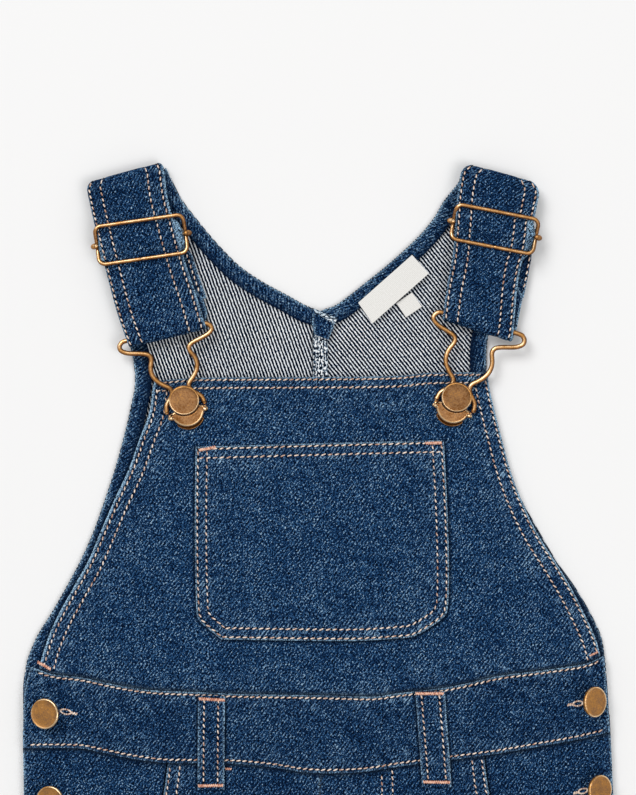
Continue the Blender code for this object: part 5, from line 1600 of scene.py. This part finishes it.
for side, strap in STRAPS.items():
    distance, height = strap.path[:, 0], strap.path[:, 1]
    near_clip = (distance > STRAP_FITTINGS[side][0] - 3.2) & (height > STRAP_LOOP_HEIGHT)
    fold_end, clip_at = (float(strap.run[np.argmax(found)]) for found in (height > RUN - 1.2, near_clip))
    middles = np.arange(fold_end - 1.5, clip_at + 2.5, PITCH)
    found = [
        strap_row(strap, middles, row, measure, STRAP_WALL / 2 - GROOVE - 0.1)
        for measure, rows in zip(("left", "right"), STRAP_ROWS[side]) for row in rows
    ]
    middles = np.arange(tab_start(strap), strap.run[-1] - 3, PITCH)
    found.append(strap_row(strap, middles, TAB_ROW[side], "right", STRAP_WALL / 2 - 0.05))
    SEWN[f"strap_{side}"] = sew_found(f"strap_{side}_topstitch", found)
    print(f"strap_{side}: {sum(len(part[0]) for part in found)} stitches")

# %% Bar tacks and buttonholes
# Columns: panel, x and height of one end, x and height of the other end, width.
BAR_TACKS = (
    ("bib", -128.0, 50.4, -122.4, 47.2, 1.7), ("bib", 126.2, 53.4, 129.6, 55.0, 1.1),
    ("bib_pocket", -53.6, 148.0, -46.4, 149.4, 1.7), ("bib_pocket", 50.6, 151.2, 57.6, 151.4, 1.7),
    ("belt_loop_left", -53.6, 33.8, -42.2, 33.2, 1.7), ("belt_loop_left", -54.0, -6.4, -43.0, -6.2, 1.7),
    ("belt_loop_right", 46.0, 36.2, 58.4, 36.2, 1.7), ("belt_loop_right", 49.6, -4.6, 61.4, -4.8, 1.7),
    ("front_leg_left", -41.6, 1.3, -39.2, 1.2, 1.3), ("front_leg_left", -112.6, -78.6, -108.0, -74.6, 1.7),
    ("front_leg_right", 117.0, -74.6, 121.4, -78.6, 1.7), ("front_leg_right", 22.5, -72.2, 26.0, -67.4, 1.7),
)
# Columns: panel, x and height of the open end, x and height of the end with the bar.
BUTTONHOLES = (
    ("front_waistband", -117.4, 28.2, -109.8, 26.6), ("front_waistband", 122.6, 31.8, 115.6, 30.8),
    ("hip_piece_left", -115.4, -11.8, -108.0, -13.2), ("hip_piece_right", 124.8, -8.4, 118.4, -10.0),
)
# Spacing and slant of the threads of a tack.
TACK_PITCH, TACK_SLANT = 0.42, 0.25
# Threads of the oval, its half length as a share, its half width, threads of the bar, and its half width.
OVAL_THREADS, OVAL_ALONG, OVAL_ACROSS, BAR_THREADS, BAR_HALF = 18, 0.3, 0.95, 3, 0.7


def axes_of(first, last):
    """A short line as its start, span and length, and the unit vectors along it and across it."""
    first = np.array(first, float)
    span = np.array(last, float) - first
    length = np.linalg.norm(span)
    along = span / length
    return first, span, length, along, np.array([-along[1], along[0]])


def satin(face, first, last, width):
    """Threads laid side by side square to the line from first to last, each one slanting the other way."""
    first, span, length, along, across = axes_of(first, last)
    count = max(3, int(round(length / TACK_PITCH)))
    middle = first + span * np.linspace(0, 1, count)[:, None]
    slant = TACK_SLANT * np.where(np.arange(count) % 2, 1, -1)[:, None] * along
    ends = [middle + way * (across * width / 2 + slant) for way in (-1, 1)]
    return [np.column_stack([spot, face(*spot.T) + 0.12]) for spot in ends]


def buttonhole(face, open_end, bar_end):
    """Threads round an oval slit, square to it, then a short bar. The oval is three fifths of the length."""
    first, span, length, along, across = axes_of(open_end, bar_end)
    turn = np.linspace(0, 2 * math.pi, OVAL_THREADS, endpoint=False)
    middle, half = first + OVAL_ALONG * span, OVAL_ALONG * length
    out = np.cos(turn)[:, None] * along * half + np.sin(turn)[:, None] * across * OVAL_ACROSS
    way = out / np.linalg.norm(out, axis=1)[:, None]
    bar = first + span * np.linspace(0.58, 1.0, BAR_THREADS + 1)[:, None]
    starts = np.vstack([middle + out - 0.3 * way, bar[:-1] - across * BAR_HALF])
    ends = np.vstack([middle + out + 0.6 * way, bar[1:] + across * BAR_HALF])
    return [np.column_stack([spot, face(*spot.T) + 0.1]) for spot in (starts, ends)]


for node in dict.fromkeys(row[0] for row in BAR_TACKS + BUTTONHOLES):
    SEWN.setdefault(node, [])
    tacks = [satin(FACES[node], row[1:3], row[3:5], row[5]) for row in BAR_TACKS if row[0] == node]
    holes = [buttonhole(FACES[node], row[1:3], row[3:5]) for row in BUTTONHOLES if row[0] == node]
    kinds = (("bar_tacks", tacks, 0.3, satin_thread), ("buttonhole", holes, 0.45, thread))
    for kind, found, width, finish in kinds:
        if found:
            starts, ends = (np.concatenate(parts) for parts in zip(*found))
            SEWN[node].append(sew(f"{node}_{kind}", starts, ends, UPRIGHT, width, 0.3, finish))
print("stitch faces:", sum(len(o.data.polygons) for made in SEWN.values() for o in made))

# %% [markdown]
# ## Labels
#
# A woven label is folded cotton ribbon sewn flat inside the neck, with a small tag tucked under it.
# Both are blank. The weave is fine ribs along the ribbon.

# %% Label finish and pieces
label, tree, shader = new_finish("woven_cotton_label")
weave = add_node(tree, "Attribute", {}, attribute_name="weave").outputs["Vector"]
ribbing = {"Scale": WAVE_BAND / 0.7, "Distortion": 0.6}
rib = add_node(tree, "TexWave", {"Vector": weave, **ribbing}, bands_direction="Y").outputs["Fac"]
fuzz = add_node(tree, "TexNoise", {"Vector": weave, "Scale": 1.6, "Detail": 3.0})
mixed = add_node(tree, "Math", {0: rib, 1: 0.4, 2: fuzz}, operation="MULTIPLY_ADD")
tint = add_node(tree, "ValToRGB", {"Fac": mixed}, ((0.3, "#d6d4cf"), (1.0, "#edece9")))
ribs = add_node(tree, "Bump", {"Height": mixed, "Distance": 0.08 * MM, "Strength": 0.5})
feed(shader, {"Base Color": tint, "Normal": ribs, "Roughness": 0.8})
FINISH["label"] = label
SIDES_OF["label"] = ("label", "label")
# Columns: x and height of a corner, turn in degrees, length, depth, and how far the lower corner leans.
LABELS = {
    "neck_label": (19.4, 215.9, 41.6, 33.2, 11.5, -1.4), "size_label": (37.0, 215.8, 34.0, 8.8, 8.0, 0.0),
}
for (name, row), level in zip(LABELS.items(), (FRONT, HEMS)):
    length, depth, lean = row[3:]
    upper = np.column_stack(turned_to(row, (0, length), (0, 0)))
    lower = np.column_stack(turned_to(row, (lean, length), (-depth, -depth)))
    grid = ruled(upper, lower, shares(length, 0.6), shares(depth, 0.6))
    edge = seam(upper, (), pucker=0.0, worn=0.0)
    cloth(name, grid, on_level(level), [edge], grain=row[2], shows="label", thickness=0.9, wavy=0.3)
